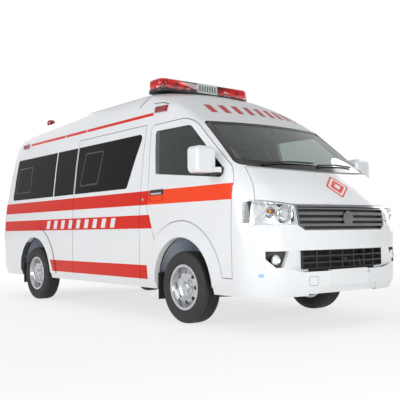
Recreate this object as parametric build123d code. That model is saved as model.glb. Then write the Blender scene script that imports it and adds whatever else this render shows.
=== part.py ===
from build123d import *
import os
from math import atan2, cos, hypot, pi, radians, sin, sqrt

# A high-roof ambulance van, one-box and cab-over, with its driver on the left.
# Millimetres. +X is forward, +Y is the van's left, +Z is up. The origin is on
# the ground under the middle of the van. Right-hand pieces are modelled and the
# left-hand ones are their mirror images, except the sliding door, which is on
# the right only.

# Overall sizes
NOSE_X = 2690
TAIL_X = -2690
WHEELBASE = 3110
FRONT_AXLE_X = 1530
REAR_AXLE_X = FRONT_AXLE_X - WHEELBASE
TRACK = 1655
SILL_Z = 290
ROOF_Z = 2296

# Shell of the body
WALL = 50
ROOF_WALL = 40
BELT_Z = 1346
EAVES_Z = 1850
CAP_Z = 2075
WINDSCREEN_TOP_Z = 1844
SHUT_GAP = 6
RUN_GAP = 0.3
GLASS_T = 5
GLASS_INSET = 4

# Doors, lids and windows, as X and Z on the side or Y and Z on the ends
DOOR_FRONT_X = 2228
DOOR_REAR_X = 984
DOOR_BOTTOM_Z = 440
DOOR_TOP_Z = 1884
DOOR_STEP = 12
DOOR_SKIN = 20
HANDLE_X = (1012, 1247)
HANDLE_Z = (1124, 1238)
HANDLE_DEPTH = 14
SLIDER_FRONT_X = 846
SLIDER_REAR_X = -552
SLIDER_BOTTOM_Z = 360
SLIDER_TOP_Z = 1900
QUARTER_SEAM_X = -1085
BAND_BOTTOM_Z = 1275
BAND_TOP_Z = 1818
PANE_GAP = 12
SCREEN_BOTTOM_Z = (1348, 1392)
SCREEN_HALF = 838
TAILGATE_BOTTOM_Z = 510
TAILGATE_TOP_Z = 1985
TAILGATE_HALF = 780
BONNET_TOP_Z = (1334, 1366)
BONNET_TOP_HALF = 792
BONNET_LOW_HALF = 852
BONNET_T = 14
BONNET_LIP = 45
BONNET_BUFFER_Y = 320
STRIKER_R = 6
STRIKER_Y = 895
STRIKER_Z = 1100

# Bumpers, lamps and grille
BUMPER_REAR_X = DOOR_FRONT_X + SHUT_GAP
BUMPER_TOP_Z = 873
BUMPER_LIP_Z = 352
REAR_BUMPER_FRONT_X = -2240
GRILLE_HALF = 574
GRILLE_LOW_HALF = 503
GRILLE_BOTTOM_Z = 829
GRILLE_TOP_Z = 1041
LAMP_REAR_X = (2322, 2290)
LAMP_OUT_TOP_Z = 1092
LAMP_OUT_Y = 960
LAMP_WALL = 4
INTAKE_HALF = 520
INTAKE_BOTTOM_Z = 512
INTAKE_TOP_Z = 667
RECESS_X = 2608
RECESS_HALF = 716
FOG_Y = 761
FOG_Z = 593
FOG_OUTLINE = ((840, 664), (655, 664), (708, 531), (772, 531), (838, 600))
PLATE_HALF = 232
PLATE_Z = 432
PLATE_H = 136
PLATE_HOLES_Y = 150
PLATE_HOLE_R = 3.5
PLATE_HOLE_DEPTH = 14

# Wheels
TYRE_R = 327
TYRE_W = 195
BEAD_R = 192
RIM_R = 207
RIM_W = 168
WHEEL_Y = TRACK / 2
ARCH_R = 430
ARCH_Z = 350
FLARE_R = 575
FLARE_PROUD = 8
LINER_T = 8
KINGPIN_Y = 735
HUB_R = 55
BRAKE_R = 150

# Chassis and floor
FLOOR_BOTTOM_Z = 556
FLOOR_T = 40
RAIL_Y = 390
RAIL_W = 60
RAIL_BOTTOM_Z = 436
RAIL_TOP_Z = FLOOR_BOTTOM_Z
SILL_BOX_W = 85
SILL_BOX_Y = 868

FRAME_X = (-2480, 2330)
CROSS_X = (2250, 880, -200, -1050, -2440)
TOW_EYE_R = 16
TOW_EYE_Z = 240
TOW_EYE_OUT_R = 30
JACK_X = (850, -950)
JACK_DROP = 6
LOAD_MAT_T = 12
LOAD_MAT_HALF = 615
OUTRIGGER_X = (700, -300, -900)
ARM_Z = 232
UPPER_ARM_Z = 430
STUB_R = 20
STUB_OUT_Y = 860
DRUM_OUT_Y = 800
ENGINE_X = (1000, 1660)
ENGINE_HALF = 215
ENGINE_BOTTOM_Z = 330
ENGINE_TOP_Z = 800
SPRING_Y = 520
SPRING_HALF = 600
EXHAUST_Z = 340
TANK_X = -400
SPARE_X = -2080
SPARE_Z = 345
FLAP_BACK = 412
FLAP_RISE = 90
FLAP_BOTTOM_Z = 190

# Cab
FRONT_HOUSE_Y = 500
REAR_HOUSE_Y = 640
LINER_OUT_Y = 872
TOE_X = 2160
DASH_BOTTOM_Z = 860
PARTITION_X = 905
STEER_AT = (1880, 420, 1190)
STEER_TILT = 38
SEAT_X = 1400
SEAT_Y = 430
SEAT_Z = 930

# Lights, grille bars, mirrors and wipers
GRILLE_BARS = ((862, 884), (908, 932), (956, 982), (1004, 1016))
GRILLE_DISC_R = 64
GRILLE_DISC_Z = 928
INTAKE_COLUMNS = 7
INTAKE_ROWS = 3
INTAKE_RIB = 14
TAIL_LAMP_FRONT_X = -2570
TAIL_LAMP_Z = (760, 1180)
MARKERS = ((1070, 200, 2035, 3), (-2080, 150, 1995, 0))
BAR_X = 650
BAR_Z = 2314
BAR_HALF = 625
BAR_DEPTH = 290
BAR_TUB_H = 26
BAR_LENS_H = 112
BAR_SPEAKER_HALF = 140
BAR_CORNER_R = 95
BEACON_X = -2120
BEACON_Y = 450
MIRROR_AT = (1985, -1040, 1440)
MIRROR_SIZE = (130, 215, 228)
MIRROR_FOOT = (2062, -932, 1342)
WIPER_PIVOTS = (-620, -20)
WIPER_REACH = 560
WIPER_RISE = (50, 72)
RIM_WINDOWS = 8

nodes = {}


def solid_of(shape):
    """The single solid or the compound of solids that a boolean left."""
    found = shape.solids()
    return found[0] if len(found) == 1 else Compound(children=list(found))


def put(name, *shapes):
    """Keep one node: all the solids of the shapes given."""
    found = [piece for shape in shapes for piece in shape.solids()]
    nodes[name] = found[0] if len(found) == 1 else Compound(children=found)


def flip(shape):
    """The left-hand twin of a right-hand piece."""
    return mirror(shape, about=Plane.XZ)


def block(x0, x1, y0, y1, z0, z1):
    return Pos((x0 + x1) / 2, (y0 + y1) / 2, (z0 + z1) / 2) * Box(abs(x1 - x0), abs(y1 - y0), abs(z1 - z0))


def rod(start, end, radius):
    """A round bar from one point to another."""
    start, end = Vector(*start), Vector(*end)
    way = end - start
    return Solid.extrude(Face(Plane(start, z_dir=way) * Wire.make_circle(radius)), way)


def flat_shape(corners, radius, grow):
    """A closed outline with rounded corners, grown outwards by a gap."""
    line = FilletPolyline(*corners, radius=radius, close=True) if radius else Polyline(*corners, close=True)
    face = make_face(line)
    return offset(face, grow, kind=Kind.INTERSECTION) if grow else face


def side_prism(*corners, near=400, far=1200, radius=None, grow=0):
    """A right-side prism along Y from an outline in X and Z."""
    return extrude(Plane.XZ.offset(near) * flat_shape(corners, radius, grow), far - near)


def end_prism(*corners, near=1500, far=2900, radius=None, grow=0):
    """A prism along X from an outline in Y and Z."""
    return extrude(Plane.YZ.offset(near) * flat_shape(corners, radius, grow), far - near)


def both_ways(points):
    """An outline given on the +Y side, closed by its mirror image."""
    return [*points, *[(-y, z) for y, z in reversed(points)]]


# Sections of the body from the sill to the roof, as height, nose, radius of the
# bow of the nose, half width, radius of the front corners, tail and radius of
# the rear corners
SECTIONS = [
    (SILL_Z, NOSE_X - 40, 3000, 905, 325, TAIL_X + 40, 150),
    (370, NOSE_X - 5, 3000, 928, 332, TAIL_X + 10, 160),
    (500, NOSE_X, 3000, 938, 335, TAIL_X, 160),
    (780, NOSE_X, 3000, 942, 332, TAIL_X, 160),
    (848, NOSE_X - 4, 3000, 942, 350, TAIL_X, 160),
    (884, NOSE_X - 10, 3000, 941, 388, TAIL_X + 1, 160),
    (1010, NOSE_X - 26, 2900, 938, 380, TAIL_X + 6, 160),
    (1110, NOSE_X - 70, 2700, 932, 350, TAIL_X + 12, 155),
    (1210, NOSE_X - 130, 2500, 925, 320, TAIL_X + 20, 155),
    (1280, NOSE_X - 190, 2300, 918, 290, TAIL_X + 28, 150),
    (BELT_Z, NOSE_X - 255, 2200, 911, 265, TAIL_X + 35, 150),
    (1600, NOSE_X - 578, 2200, 883, 205, TAIL_X + 78, 145),
    (EAVES_Z, NOSE_X - 900, 2200, 846, 150, TAIL_X + 130, 140),
    (1960, NOSE_X - 1055, 1800, 826, 190, TAIL_X + 165, 150),
    (2060, NOSE_X - 1205, 1500, 806, 230, TAIL_X + 204, 160),
    (2130, NOSE_X - 1325, 1300, 784, 270, TAIL_X + 240, 180),
    (2200, NOSE_X - 1490, 1200, 742, 300, TAIL_X + 290, 200),
    (2250, NOSE_X - 1655, 1100, 680, 320, TAIL_X + 350, 220),
    (2282, NOSE_X - 1840, 1100, 596, 320, TAIL_X + 430, 230),
    (ROOF_Z, NOSE_X - 2100, 1100, 460, 300, TAIL_X + 580, 230),
]
TAIL_BOW = 9000


def corner(end_x, bow, half, radius, way):
    """Tangent points and middles of a bowed end and its rounded corner.

    way is 1 at the nose and -1 at the tail.
    """
    bow_x = end_x - way * bow
    side_y = half - radius
    centre_x = bow_x + way * sqrt((bow - radius) ** 2 - side_y ** 2)
    reach = hypot(centre_x - bow_x, side_y)
    on_bow = (bow_x + (centre_x - bow_x) * bow / reach, side_y * bow / reach)
    angle = (atan2(side_y, abs(centre_x - bow_x)) + pi / 2) / 2
    middle = (centre_x + way * radius * cos(angle), side_y + radius * sin(angle))
    return on_bow, middle, (centre_x, half)


def outline(section, inset=0, drop=0):
    """The closed plan of the body at one section, moved in by inset."""
    height, nose, bow, half, nose_r, tail, tail_r = section
    half -= inset
    front = corner(nose - inset, bow - inset, half, nose_r - inset, 1)
    rear = corner(tail + inset, TAIL_BOW - inset, half, tail_r - inset, -1)

    def other(point):
        return (point[0], -point[1])

    edges = [
        ThreePointArc(other(front[0]), (nose - inset, 0), front[0]),
        ThreePointArc(*front),
        Line(front[2], rear[2]),
        ThreePointArc(*reversed(rear)),
        ThreePointArc(rear[0], (tail + inset, 0), other(rear[0])),
        ThreePointArc(*[other(point) for point in rear]),
        Line(other(rear[2]), other(front[2])),
        ThreePointArc(*[other(point) for point in reversed(front)]),
    ]
    return Wire([edge.edge() for edge in edges]).moved(Location((0, 0, height - drop)))


def hull(inset=0, sunk=0, from_z=None):
    """The whole body as one solid, inset on all sides and sunk at the roof."""
    wires = []
    if from_z is not None:
        wires.append(outline((from_z,) + SECTIONS[0][1:], inset))
    for section in SECTIONS:
        share = max(0, (section[0] - EAVES_Z) / (ROOF_Z - EAVES_Z))
        wires.append(outline(section, inset, sunk * share))
    return Solid.make_loft(wires, ruled=True)


def skin(outer_inset, inner_inset, region):
    """The part of the body's surface layer that lies in a region."""
    outside = hull(outer_inset, outer_inset) & region
    return solid_of(outside - hull(inner_inset, inner_inset, SILL_Z - 100))


body = hull()
inside = hull(WALL, ROOF_WALL, SILL_Z - 100)

# Regions that the panels are cut with
right_half = block(-3000, 3000, -1300, 0, 0, 3000)

DOOR_OUTLINE = [
    (DOOR_FRONT_X, DOOR_BOTTOM_Z), (DOOR_FRONT_X, 1325), (1570, DOOR_TOP_Z), (DOOR_REAR_X - 40, DOOR_TOP_Z - 4),
    (DOOR_REAR_X, 1300), (DOOR_REAR_X, 1040), (DOOR_REAR_X + 160, 700), (DOOR_REAR_X + 160, DOOR_BOTTOM_Z)]
DOOR_RADII = [12, 250, 380, 60, 100, 60, 60, 12]
SLIDER_OUTLINE = [
    (SLIDER_REAR_X, SLIDER_BOTTOM_Z), (SLIDER_FRONT_X, SLIDER_BOTTOM_Z),
    (SLIDER_FRONT_X, SLIDER_TOP_Z), (SLIDER_REAR_X, SLIDER_TOP_Z)]
door_region = side_prism(*DOOR_OUTLINE, radius=DOOR_RADII)
door_hole = side_prism(*DOOR_OUTLINE, radius=DOOR_RADII, grow=SHUT_GAP)
door_window = side_prism(
    (1088, 1389), (2100, 1288), (2100, 1368), (1586, 1810), (1020, 1817), radius=[24, 40, 30, 120, 28])
slider_region = side_prism(*SLIDER_OUTLINE)
slider_hole = side_prism(*SLIDER_OUTLINE, grow=SHUT_GAP)
slider_hole &= block(-3000, 3000, -1300, 0, SLIDER_BOTTOM_Z - RUN_GAP, 3000)
band = side_prism((-2315, BAND_BOTTOM_Z), (582, BAND_BOTTOM_Z), (812, BAND_TOP_Z), (-2255, BAND_TOP_Z), radius=45)


def pane(x0, x1):
    """The stretch of the window band from one X to another."""
    return band & block(x0, x1, -1300, 0, 1000, 2000)


rear_pane = pane(-2400, QUARTER_SEAM_X - PANE_GAP)
middle_pane = pane(QUARTER_SEAM_X + PANE_GAP, SLIDER_REAR_X - PANE_GAP - SHUT_GAP)
slider_pane = pane(SLIDER_REAR_X + PANE_GAP, 900)


def arched(half_low, half_top, low, top, bow_top=None):
    """A face in Y and Z with an arc along its lower edge and, if given, its upper one.

    low and bow_top are the heights in the middle and at the corners.
    """
    edges = [ThreePointArc((-half_low, low[1]), (0, low[0]), (half_low, low[1]))]
    if bow_top:
        edges.append(Line((half_low, low[1]), (half_top, bow_top[1])))
        edges.append(ThreePointArc((half_top, bow_top[1]), (0, bow_top[0]), (-half_top, bow_top[1])))
        edges.append(Line((-half_top, bow_top[1]), (-half_low, low[1])))
    else:
        edges.append(Polyline((half_low, low[1]), (half_top, top), (-half_top, top), (-half_low, low[1])))
    return make_face(edges)


screen_face = arched(SCREEN_HALF, 765, SCREEN_BOTTOM_Z, WINDSCREEN_TOP_Z)
windscreen_region = extrude(Plane.YZ.offset(1500) * fillet(screen_face.vertices(), 40), 1400)

TAILGATE_OUTLINE = both_ways([(TAILGATE_HALF, TAILGATE_BOTTOM_Z), (TAILGATE_HALF, 1270), (700, TAILGATE_TOP_Z)])
tailgate_region = end_prism(*TAILGATE_OUTLINE, near=-2900, far=-2200)
tailgate_hole = end_prism(*TAILGATE_OUTLINE, near=-2900, far=-2200, grow=SHUT_GAP)
tailgate_window = end_prism((-650, 1290), (650, 1290), (605, 1800), (-605, 1800), near=-2900, far=-2200, radius=60)

LAMP_TOP_SLOPE = (LAMP_OUT_TOP_Z - GRILLE_TOP_Z) / (LAMP_OUT_Y - GRILLE_HALF)
BONNET_CORNER_Z = GRILLE_TOP_Z + SHUT_GAP + LAMP_TOP_SLOPE * (BONNET_LOW_HALF - GRILLE_HALF)


def bonnet_prism(grow):
    """The bonnet's front view, with a straight lower edge that rises over the lamps."""
    low = [(GRILLE_HALF, GRILLE_TOP_Z + SHUT_GAP - grow), (BONNET_LOW_HALF + grow, BONNET_CORNER_Z - grow)]
    top = [(BONNET_TOP_HALF + grow, BONNET_TOP_Z[1] + grow), (0, BONNET_TOP_Z[0] + grow)]
    edges = [Polyline(*both_ways([top[0], low[1], low[0]]))]
    edges.append(ThreePointArc(top[0], top[1], (-top[0][0], top[0][1])))
    return extrude(Plane.YZ.offset(1900) * make_face(edges), 1000)


def surface_x(y, z, out=0):
    """X of the nose's outer surface at a place across and a height."""
    for low, high in zip(SECTIONS, SECTIONS[1:]):
        if low[0] <= z <= high[0]:
            break
    found = []
    for height, nose_x, bow, half, nose_r, _, _ in (low, high):
        on_bow, _, side = corner(nose_x, bow, half, nose_r, 1)
        if abs(y) <= on_bow[1]:
            found.append(nose_x - bow + sqrt(bow ** 2 - y ** 2))
        else:
            offset = min(abs(y) - (half - nose_r), nose_r)
            found.append(side[0] + sqrt(nose_r ** 2 - offset ** 2))
    share = (z - low[0]) / (high[0] - low[0])
    return found[0] + (found[1] - found[0]) * share + out


bonnet_region = bonnet_prism(0)
bonnet_hole = bonnet_prism(SHUT_GAP)
bonnet_inner = bonnet_prism(-BONNET_LIP)
lamp_region = end_prism(
    (-GRILLE_HALF - 2, BUMPER_TOP_Z + 2), (-LAMP_OUT_Y, BUMPER_TOP_Z + 4),
    (-LAMP_OUT_Y, LAMP_OUT_TOP_Z), (-GRILLE_HALF - 2, GRILLE_TOP_Z))
lamp_region &= side_prism(
    (LAMP_REAR_X[0], BUMPER_TOP_Z), (3000, BUMPER_TOP_Z), (3000, 1200),
    (LAMP_REAR_X[1] - 10, 1200), (LAMP_REAR_X[1], LAMP_OUT_TOP_Z))
grille_region = end_prism(
    *both_ways([(GRILLE_HALF - 2, GRILLE_TOP_Z), (GRILLE_HALF - 8, BUMPER_TOP_Z), (GRILLE_LOW_HALF, GRILLE_BOTTOM_Z)]))
bumper_region = end_prism(
    *both_ways([(GRILLE_LOW_HALF, GRILLE_BOTTOM_Z - 3), (GRILLE_HALF - 8, BUMPER_TOP_Z - 3),
                (1000, BUMPER_TOP_Z - 3), (1000, 200)]), near=BUMPER_REAR_X)
tail_lamp_region = block(-3000, TAIL_LAMP_FRONT_X, -1300, -TAILGATE_HALF - 14, TAIL_LAMP_Z[0], TAIL_LAMP_Z[1])
rear_bumper_region = block(-3000, REAR_BUMPER_FRONT_X, -1300, 1300, 0, TAILGATE_BOTTOM_Z - SHUT_GAP)
cap_profile = [
    Polyline((-3000, CAP_Z), (1180, CAP_Z)),
    ThreePointArc((1180, CAP_Z), (1440, 1990), (1640, WINDSCREEN_TOP_Z)),
    Polyline((1640, WINDSCREEN_TOP_Z), (3000, WINDSCREEN_TOP_Z), (3000, 3000), (-3000, 3000), (-3000, CAP_Z)),
]
cap_region = extrude(Plane.XZ.offset(-1300) * make_face(cap_profile), 2600)
cap_region += block(-3000, -2300, -690, 690, TAILGATE_TOP_Z + SHUT_GAP, CAP_Z + 1)


def arch(axle_x, radius, near, far):
    """A round cut along Y about the middle of a wheel arch."""
    return extrude(Plane.XZ.offset(near) * Pos(axle_x, ARCH_Z) * Circle(radius), far - near)


def arch_slot(axle_x, radius, near, far):
    """The arch and the space straight below it."""
    return (arch(axle_x, radius, near, far)
            + block(axle_x - radius, axle_x + radius, -far, -near, 0, ARCH_Z))


def body_sides():
    """The fixed side walls with their wheel arches, sills and window holes."""
    shell = body - inside
    shell -= cap_region
    shell -= block(BUMPER_REAR_X, 3000, -1300, 1300, 0, 3000)
    shell -= rear_bumper_region
    shell -= tailgate_hole
    shell -= windscreen_region
    flares = hull(-FLARE_PROUD) - inside
    for name, way in (("right", 1), ("left", -1)):
        wall = shell & (right_half if way > 0 else flip(right_half))
        turn = (lambda shape: shape) if way > 0 else flip
        for axle_x in (FRONT_AXLE_X, REAR_AXLE_X):
            ring = arch(axle_x, FLARE_R, 700, 1300) & block(-3000, 3000, -1300, 0, SILL_Z + 60, 3000)
            wall += flares & turn(ring)
        wall -= turn(door_hole - arch(FRONT_AXLE_X, FLARE_R + 2, 400, 1300))
        for axle_x in (FRONT_AXLE_X, REAR_AXLE_X):
            wall -= turn(arch_slot(axle_x, ARCH_R, 600, 1300))
        for opening in (rear_pane, middle_pane, tail_lamp_region):
            wall -= turn(opening)
        if way > 0:
            wall -= slider_hole
        else:
            wall -= turn(slider_pane)
        sill = block(REAR_AXLE_X + ARCH_R + 30, FRONT_AXLE_X - ARCH_R - 30, -SILL_BOX_Y,
                     -SILL_BOX_Y + SILL_BOX_W, SILL_Z + 10, FLOOR_BOTTOM_Z)
        striker = rod((DOOR_REAR_X - 12, -STRIKER_Y, STRIKER_Z), (DOOR_REAR_X + 14, -STRIKER_Y, STRIKER_Z), STRIKER_R)
        wall = wall + turn(sill) + turn(striker)
        for x in JACK_X:
            wall += turn(block(x - 45, x + 45, -SILL_BOX_Y + 22, -SILL_BOX_Y + SILL_BOX_W,
                               SILL_Z - JACK_DROP, SILL_Z + 20))
        put("body_side_" + name, wall)


def nose():
    """The welded nose round the lamps, with a flange under the bonnet's edges."""
    region = block(BUMPER_REAR_X, 3000, -1300, 1300, 0, 3000)
    panel = skin(0, WALL, region)
    panel -= bumper_region
    panel -= windscreen_region
    lid_space = block(BUMPER_REAR_X, 3000, -BONNET_TOP_HALF - SHUT_GAP, BONNET_TOP_HALF + SHUT_GAP,
                      BONNET_TOP_Z[0], SCREEN_BOTTOM_Z[1])
    panel -= (bonnet_hole + lid_space) - hull(BONNET_T + SHUT_GAP, BONNET_T + SHUT_GAP)
    panel -= bonnet_inner
    panel -= grille_region
    for y in (-BONNET_BUFFER_Y, BONNET_BUFFER_Y):
        seat_z = GRILLE_TOP_Z + SHUT_GAP + BONNET_LIP / 2
        seat = block(2000, 3000, y - 16, y + 16, seat_z - 14, seat_z + 14)
        panel += skin(BONNET_T + RUN_GAP, WALL, seat)
    for turn in (lambda shape: shape, flip):
        panel -= turn(lamp_region)
    put("nose_panel", panel)
    bonnet = skin(0, BONNET_T, bonnet_region & block(BUMPER_REAR_X + SHUT_GAP, 3000, -1000, 1000, 900, 1500))
    put("bonnet", bonnet)


def doors():
    door = skin(0, WALL, door_region) - arch(FRONT_AXLE_X, FLARE_R + 2 + SHUT_GAP, 400, 1300) - door_window
    door -= arch(FRONT_AXLE_X, FLARE_R + 2 + SHUT_GAP + DOOR_STEP, 400, 942 - DOOR_SKIN)
    door -= block(DOOR_REAR_X - 1, DOOR_REAR_X + 16, -STRIKER_Y - STRIKER_R - RUN_GAP, -STRIKER_Y + 80,
                  STRIKER_Z - STRIKER_R - RUN_GAP, STRIKER_Z + STRIKER_R + RUN_GAP)
    pocket = side_prism((HANDLE_X[0], HANDLE_Z[0]), (HANDLE_X[1], HANDLE_Z[0]), (HANDLE_X[1], HANDLE_Z[1]),
                        (HANDLE_X[0], HANDLE_Z[1]), radius=14)
    door -= pocket - hull(HANDLE_DEPTH)
    flap = block(HANDLE_X[0] + 10, HANDLE_X[1] - 12, -1300, 0, HANDLE_Z[0] + 8, (HANDLE_Z[0] + HANDLE_Z[1]) / 2)
    door += (hull(2) - hull(HANDLE_DEPTH + 1)) & flap
    glass = skin(GLASS_INSET, GLASS_INSET + GLASS_T, door_window)
    put("door_right", door)
    put("door_left", flip(door))
    put("door_glass_right", glass)
    put("door_glass_left", flip(glass))
    put("sliding_door", skin(0, WALL, slider_region) - slider_pane)
    put("sliding_door_glass", skin(GLASS_INSET, GLASS_INSET + GLASS_T, slider_pane))
    panes = [skin(GLASS_INSET, GLASS_INSET + GLASS_T, window) for window in (rear_pane, middle_pane)]
    far_panes = [flip(window) for window in panes]
    far_panes.append(flip(skin(GLASS_INSET, GLASS_INSET + GLASS_T, slider_pane)))
    put("side_glass", *panes, *far_panes)
    put("windscreen", skin(GLASS_INSET, GLASS_INSET + GLASS_T + 1, windscreen_region))
    put("tailgate", skin(0, WALL, tailgate_region) - tailgate_window)
    put("tailgate_glass", skin(GLASS_INSET, GLASS_INSET + GLASS_T, tailgate_window))


def roof():
    cap = (body & cap_region) - inside
    put("roof_cap", cap)


def intake_prism():
    return end_prism((-INTAKE_HALF, INTAKE_BOTTOM_Z), (INTAKE_HALF, INTAKE_BOTTOM_Z),
                     (INTAKE_HALF, INTAKE_TOP_Z), (-INTAKE_HALF, INTAKE_TOP_Z), radius=12)


def fog_prism(way, grow=0):
    return end_prism(*[(way * y, z) for y, z in FOG_OUTLINE], radius=9, grow=grow)


def bumpers():
    """Moulded bumpers, the front one with a set-back intake and a raised plate pad."""
    bumper = skin(0, WALL, bumper_region)
    lip = both_ways([(GRILLE_LOW_HALF, 200), (GRILLE_LOW_HALF - 90, BUMPER_LIP_Z)])
    bumper -= end_prism(*lip)
    valance = block(2300, 3000, -470, 470, SILL_Z + 14, BUMPER_LIP_Z + 12)
    bumper += skin(14, WALL, valance)
    bumper -= intake_prism()
    bumper -= end_prism(
        *both_ways([(RECESS_HALF, INTAKE_TOP_Z), (RECESS_HALF - 5, 530), (INTAKE_HALF, INTAKE_BOTTOM_Z - 22)]),
        near=RECESS_X)
    for way in (-1, 1):
        bumper -= fog_prism(way)
    pad = block(NOSE_X - 45, NOSE_X + 2, -PLATE_HALF, PLATE_HALF, PLATE_Z - PLATE_H / 2, PLATE_Z + PLATE_H / 2)
    bumper += pad
    for y in (-PLATE_HOLES_Y / 2, PLATE_HOLES_Y / 2):
        bumper -= rod((NOSE_X + 10, y, PLATE_Z), (NOSE_X + 2 - PLATE_HOLE_DEPTH, y, PLATE_Z), PLATE_HOLE_R)
    put("front_bumper", bumper)
    put("rear_bumper", skin(0, WALL, rear_bumper_region))


def grilles():
    """Chrome frame, bars and blank disc before a black mesh, and the intake."""
    chrome = skin(-1, 26, grille_region)
    chrome -= end_prism(
        *both_ways([(GRILLE_HALF - 24, GRILLE_TOP_Z - 16), (GRILLE_HALF - 28, BUMPER_TOP_Z + 8),
                    (GRILLE_LOW_HALF - 8, GRILLE_BOTTOM_Z + 12)]))
    for low, high in GRILLE_BARS:
        chrome += skin(-2, 30, grille_region & block(0, 3000, -900, 900, low, high))
    disc = Pos(surface_x(0, GRILLE_DISC_Z) - 22, 0, GRILLE_DISC_Z) * Rot(0, 90, 0) * Cylinder(
        GRILLE_DISC_R, 32, align=(Align.CENTER, Align.CENTER, Align.MIN))
    put("grille", chrome + disc)
    put("grille_mesh", skin(32, 38, grille_region))
    intake = skin(16, 40, intake_prism())
    pitch_z = (INTAKE_TOP_Z - INTAKE_BOTTOM_Z) / INTAKE_ROWS
    pitch_y = 2 * INTAKE_HALF / INTAKE_COLUMNS
    holes = []
    for row in range(INTAKE_ROWS):
        for column in range(INTAKE_COLUMNS):
            y = -INTAKE_HALF + (column + 0.5) * pitch_y
            z = INTAKE_BOTTOM_Z + (row + 0.5) * pitch_z
            holes.append(Pos(2600, y, z) * Box(600, pitch_y - INTAKE_RIB, pitch_z - INTAKE_RIB))
    put("intake_grille", intake - holes)


def lamps():
    """Lenses and bowls of the headlamps, fog lamps, tail lamps and markers."""
    lens = skin(0, LAMP_WALL, lamp_region)
    bowl = skin(WALL, WALL + 60, lamp_region & block(LAMP_REAR_X[0] + 50, 3000, -1300, 0, 0, 3000))
    rim = skin(LAMP_WALL + RUN_GAP, WALL, lamp_region)
    rim -= end_prism((-GRILLE_HALF - 14, BUMPER_TOP_Z + 14), (-LAMP_OUT_Y + 12, BUMPER_TOP_Z + 16),
                     (-LAMP_OUT_Y + 12, LAMP_OUT_TOP_Z - 12), (-GRILLE_HALF - 14, GRILLE_TOP_Z - 10),
                     near=LAMP_REAR_X[0] + 12)
    bowl = solid_of(bowl + rim)
    put("headlamp_lenses", lens, flip(lens))
    put("headlamp_bowls", bowl, flip(bowl))
    fogs = []
    for way in (-1, 1):
        back_x = surface_x(FOG_Y, FOG_Z) - WALL
        pocket = skin(36, 42, fog_prism(way, -1))
        lamp = Pos(back_x - 30, way * FOG_Y, FOG_Z) * Rot(0, 90, 0) * Cylinder(
            38, 58, align=(Align.CENTER, Align.CENTER, Align.MIN))
        fogs.append(pocket + lamp)
    put("fog_lamps", *fogs)
    tail = skin(-3, WALL - 10, tail_lamp_region)
    put("tail_lamps", tail, flip(tail))
    markers = []
    for x, length, z, tilt in MARKERS:
        half = 826 - (z - 1960) * 0.2
        marker = Pos(x, -half - 3, z) * Rot(-12, tilt, 0) * Box(length, 34, 62)
        marker = chamfer(marker.faces().sort_by(Axis.Y)[0].edges(), 8)
        markers.append(marker - body)
    put("marker_lamps", *markers, *[flip(marker) for marker in markers])


def bar_slab(half, depth, radius, z0, z1):
    """A flat slab with rounded ends, lying across the roof."""
    return extrude(Plane.XY.offset(z0) * Pos(BAR_X, 0) * RectangleRounded(depth, 2 * half, radius), z1 - z0)


def warning_lights():
    """The light bar on its two feet, and the two round beacons."""
    lens_z = BAR_Z + BAR_TUB_H / 2
    top_z = lens_z + BAR_LENS_H
    tub = bar_slab(BAR_HALF, BAR_DEPTH, BAR_CORNER_R, BAR_Z - BAR_TUB_H / 2, lens_z)
    centre = Pos(BAR_X, 0, lens_z + BAR_LENS_H / 2) * Box(BAR_DEPTH - 16, 2 * BAR_SPEAKER_HALF, BAR_LENS_H)
    centre = fillet(centre.edges().filter_by(Axis.Y).group_by(Axis.Z)[-1], 30)
    feet = [block(BAR_X - 60, BAR_X + 60, way * 420 - 40, way * 420 + 40, 2200, BAR_Z) - hull() for way in (-1, 1)]
    put("light_bar", tub + centre + feet)
    dome = bar_slab(BAR_HALF - 6, BAR_DEPTH - 12, BAR_CORNER_R - 6, lens_z, top_z)
    dome = fillet(dome.edges().group_by(Axis.Z)[-1], 40)
    gap = BAR_SPEAKER_HALF + 2
    put("light_bar_lenses", *[dome & block(0, 2000, *sorted((way * gap, way * 1000)), 2000, 3000) for way in (-1, 1)])
    beacons = []
    for way in (-1, 1):
        base = Pos(BEACON_X, way * BEACON_Y, 2200) * Cylinder(62, 95, align=(Align.CENTER, Align.CENTER, Align.MIN))
        dome = Pos(BEACON_X, way * BEACON_Y, 2295) * Cylinder(55, 100, align=(Align.CENTER, Align.CENTER, Align.MIN))
        dome = chamfer(dome.edges().group_by(Axis.Z)[-1], 12)
        beacons.append(solid_of(base - hull()) + dome)
    put("beacons", *beacons)


def mirrors():
    shell = Pos(*MIRROR_AT) * Box(*MIRROR_SIZE)
    shell = fillet(shell.edges().filter_by(Axis.X), 46)
    shell = chamfer(shell.faces().sort_by(Axis.X)[-1].edges(), 22)
    foot = Pos(*MIRROR_FOOT) * Box(90, 110, 56)
    arm = rod((MIRROR_AT[0] + 20, MIRROR_AT[1] + 60, MIRROR_AT[2] - MIRROR_SIZE[2] / 2 + 20),
              (MIRROR_FOOT[0], MIRROR_FOOT[1] - 20, MIRROR_FOOT[2]), 18)
    mirror_piece = (shell + arm + foot) - hull()
    put("mirror_right", mirror_piece)
    put("mirror_left", flip(mirror_piece))


def off_screen(y, z, out):
    """A point on the windscreen's outer side, moved off it along its normal."""
    across = (surface_x(y + 10, z) - surface_x(y - 10, z)) / 20
    rise = (surface_x(y, z + 10) - surface_x(y, z - 10)) / 20
    normal = Vector(1, -across, -rise).normalized()
    glass = Vector(surface_x(y, z), y, z) - normal * (GLASS_INSET * hypot(normal.X, normal.Y))
    return glass + normal * out


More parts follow.
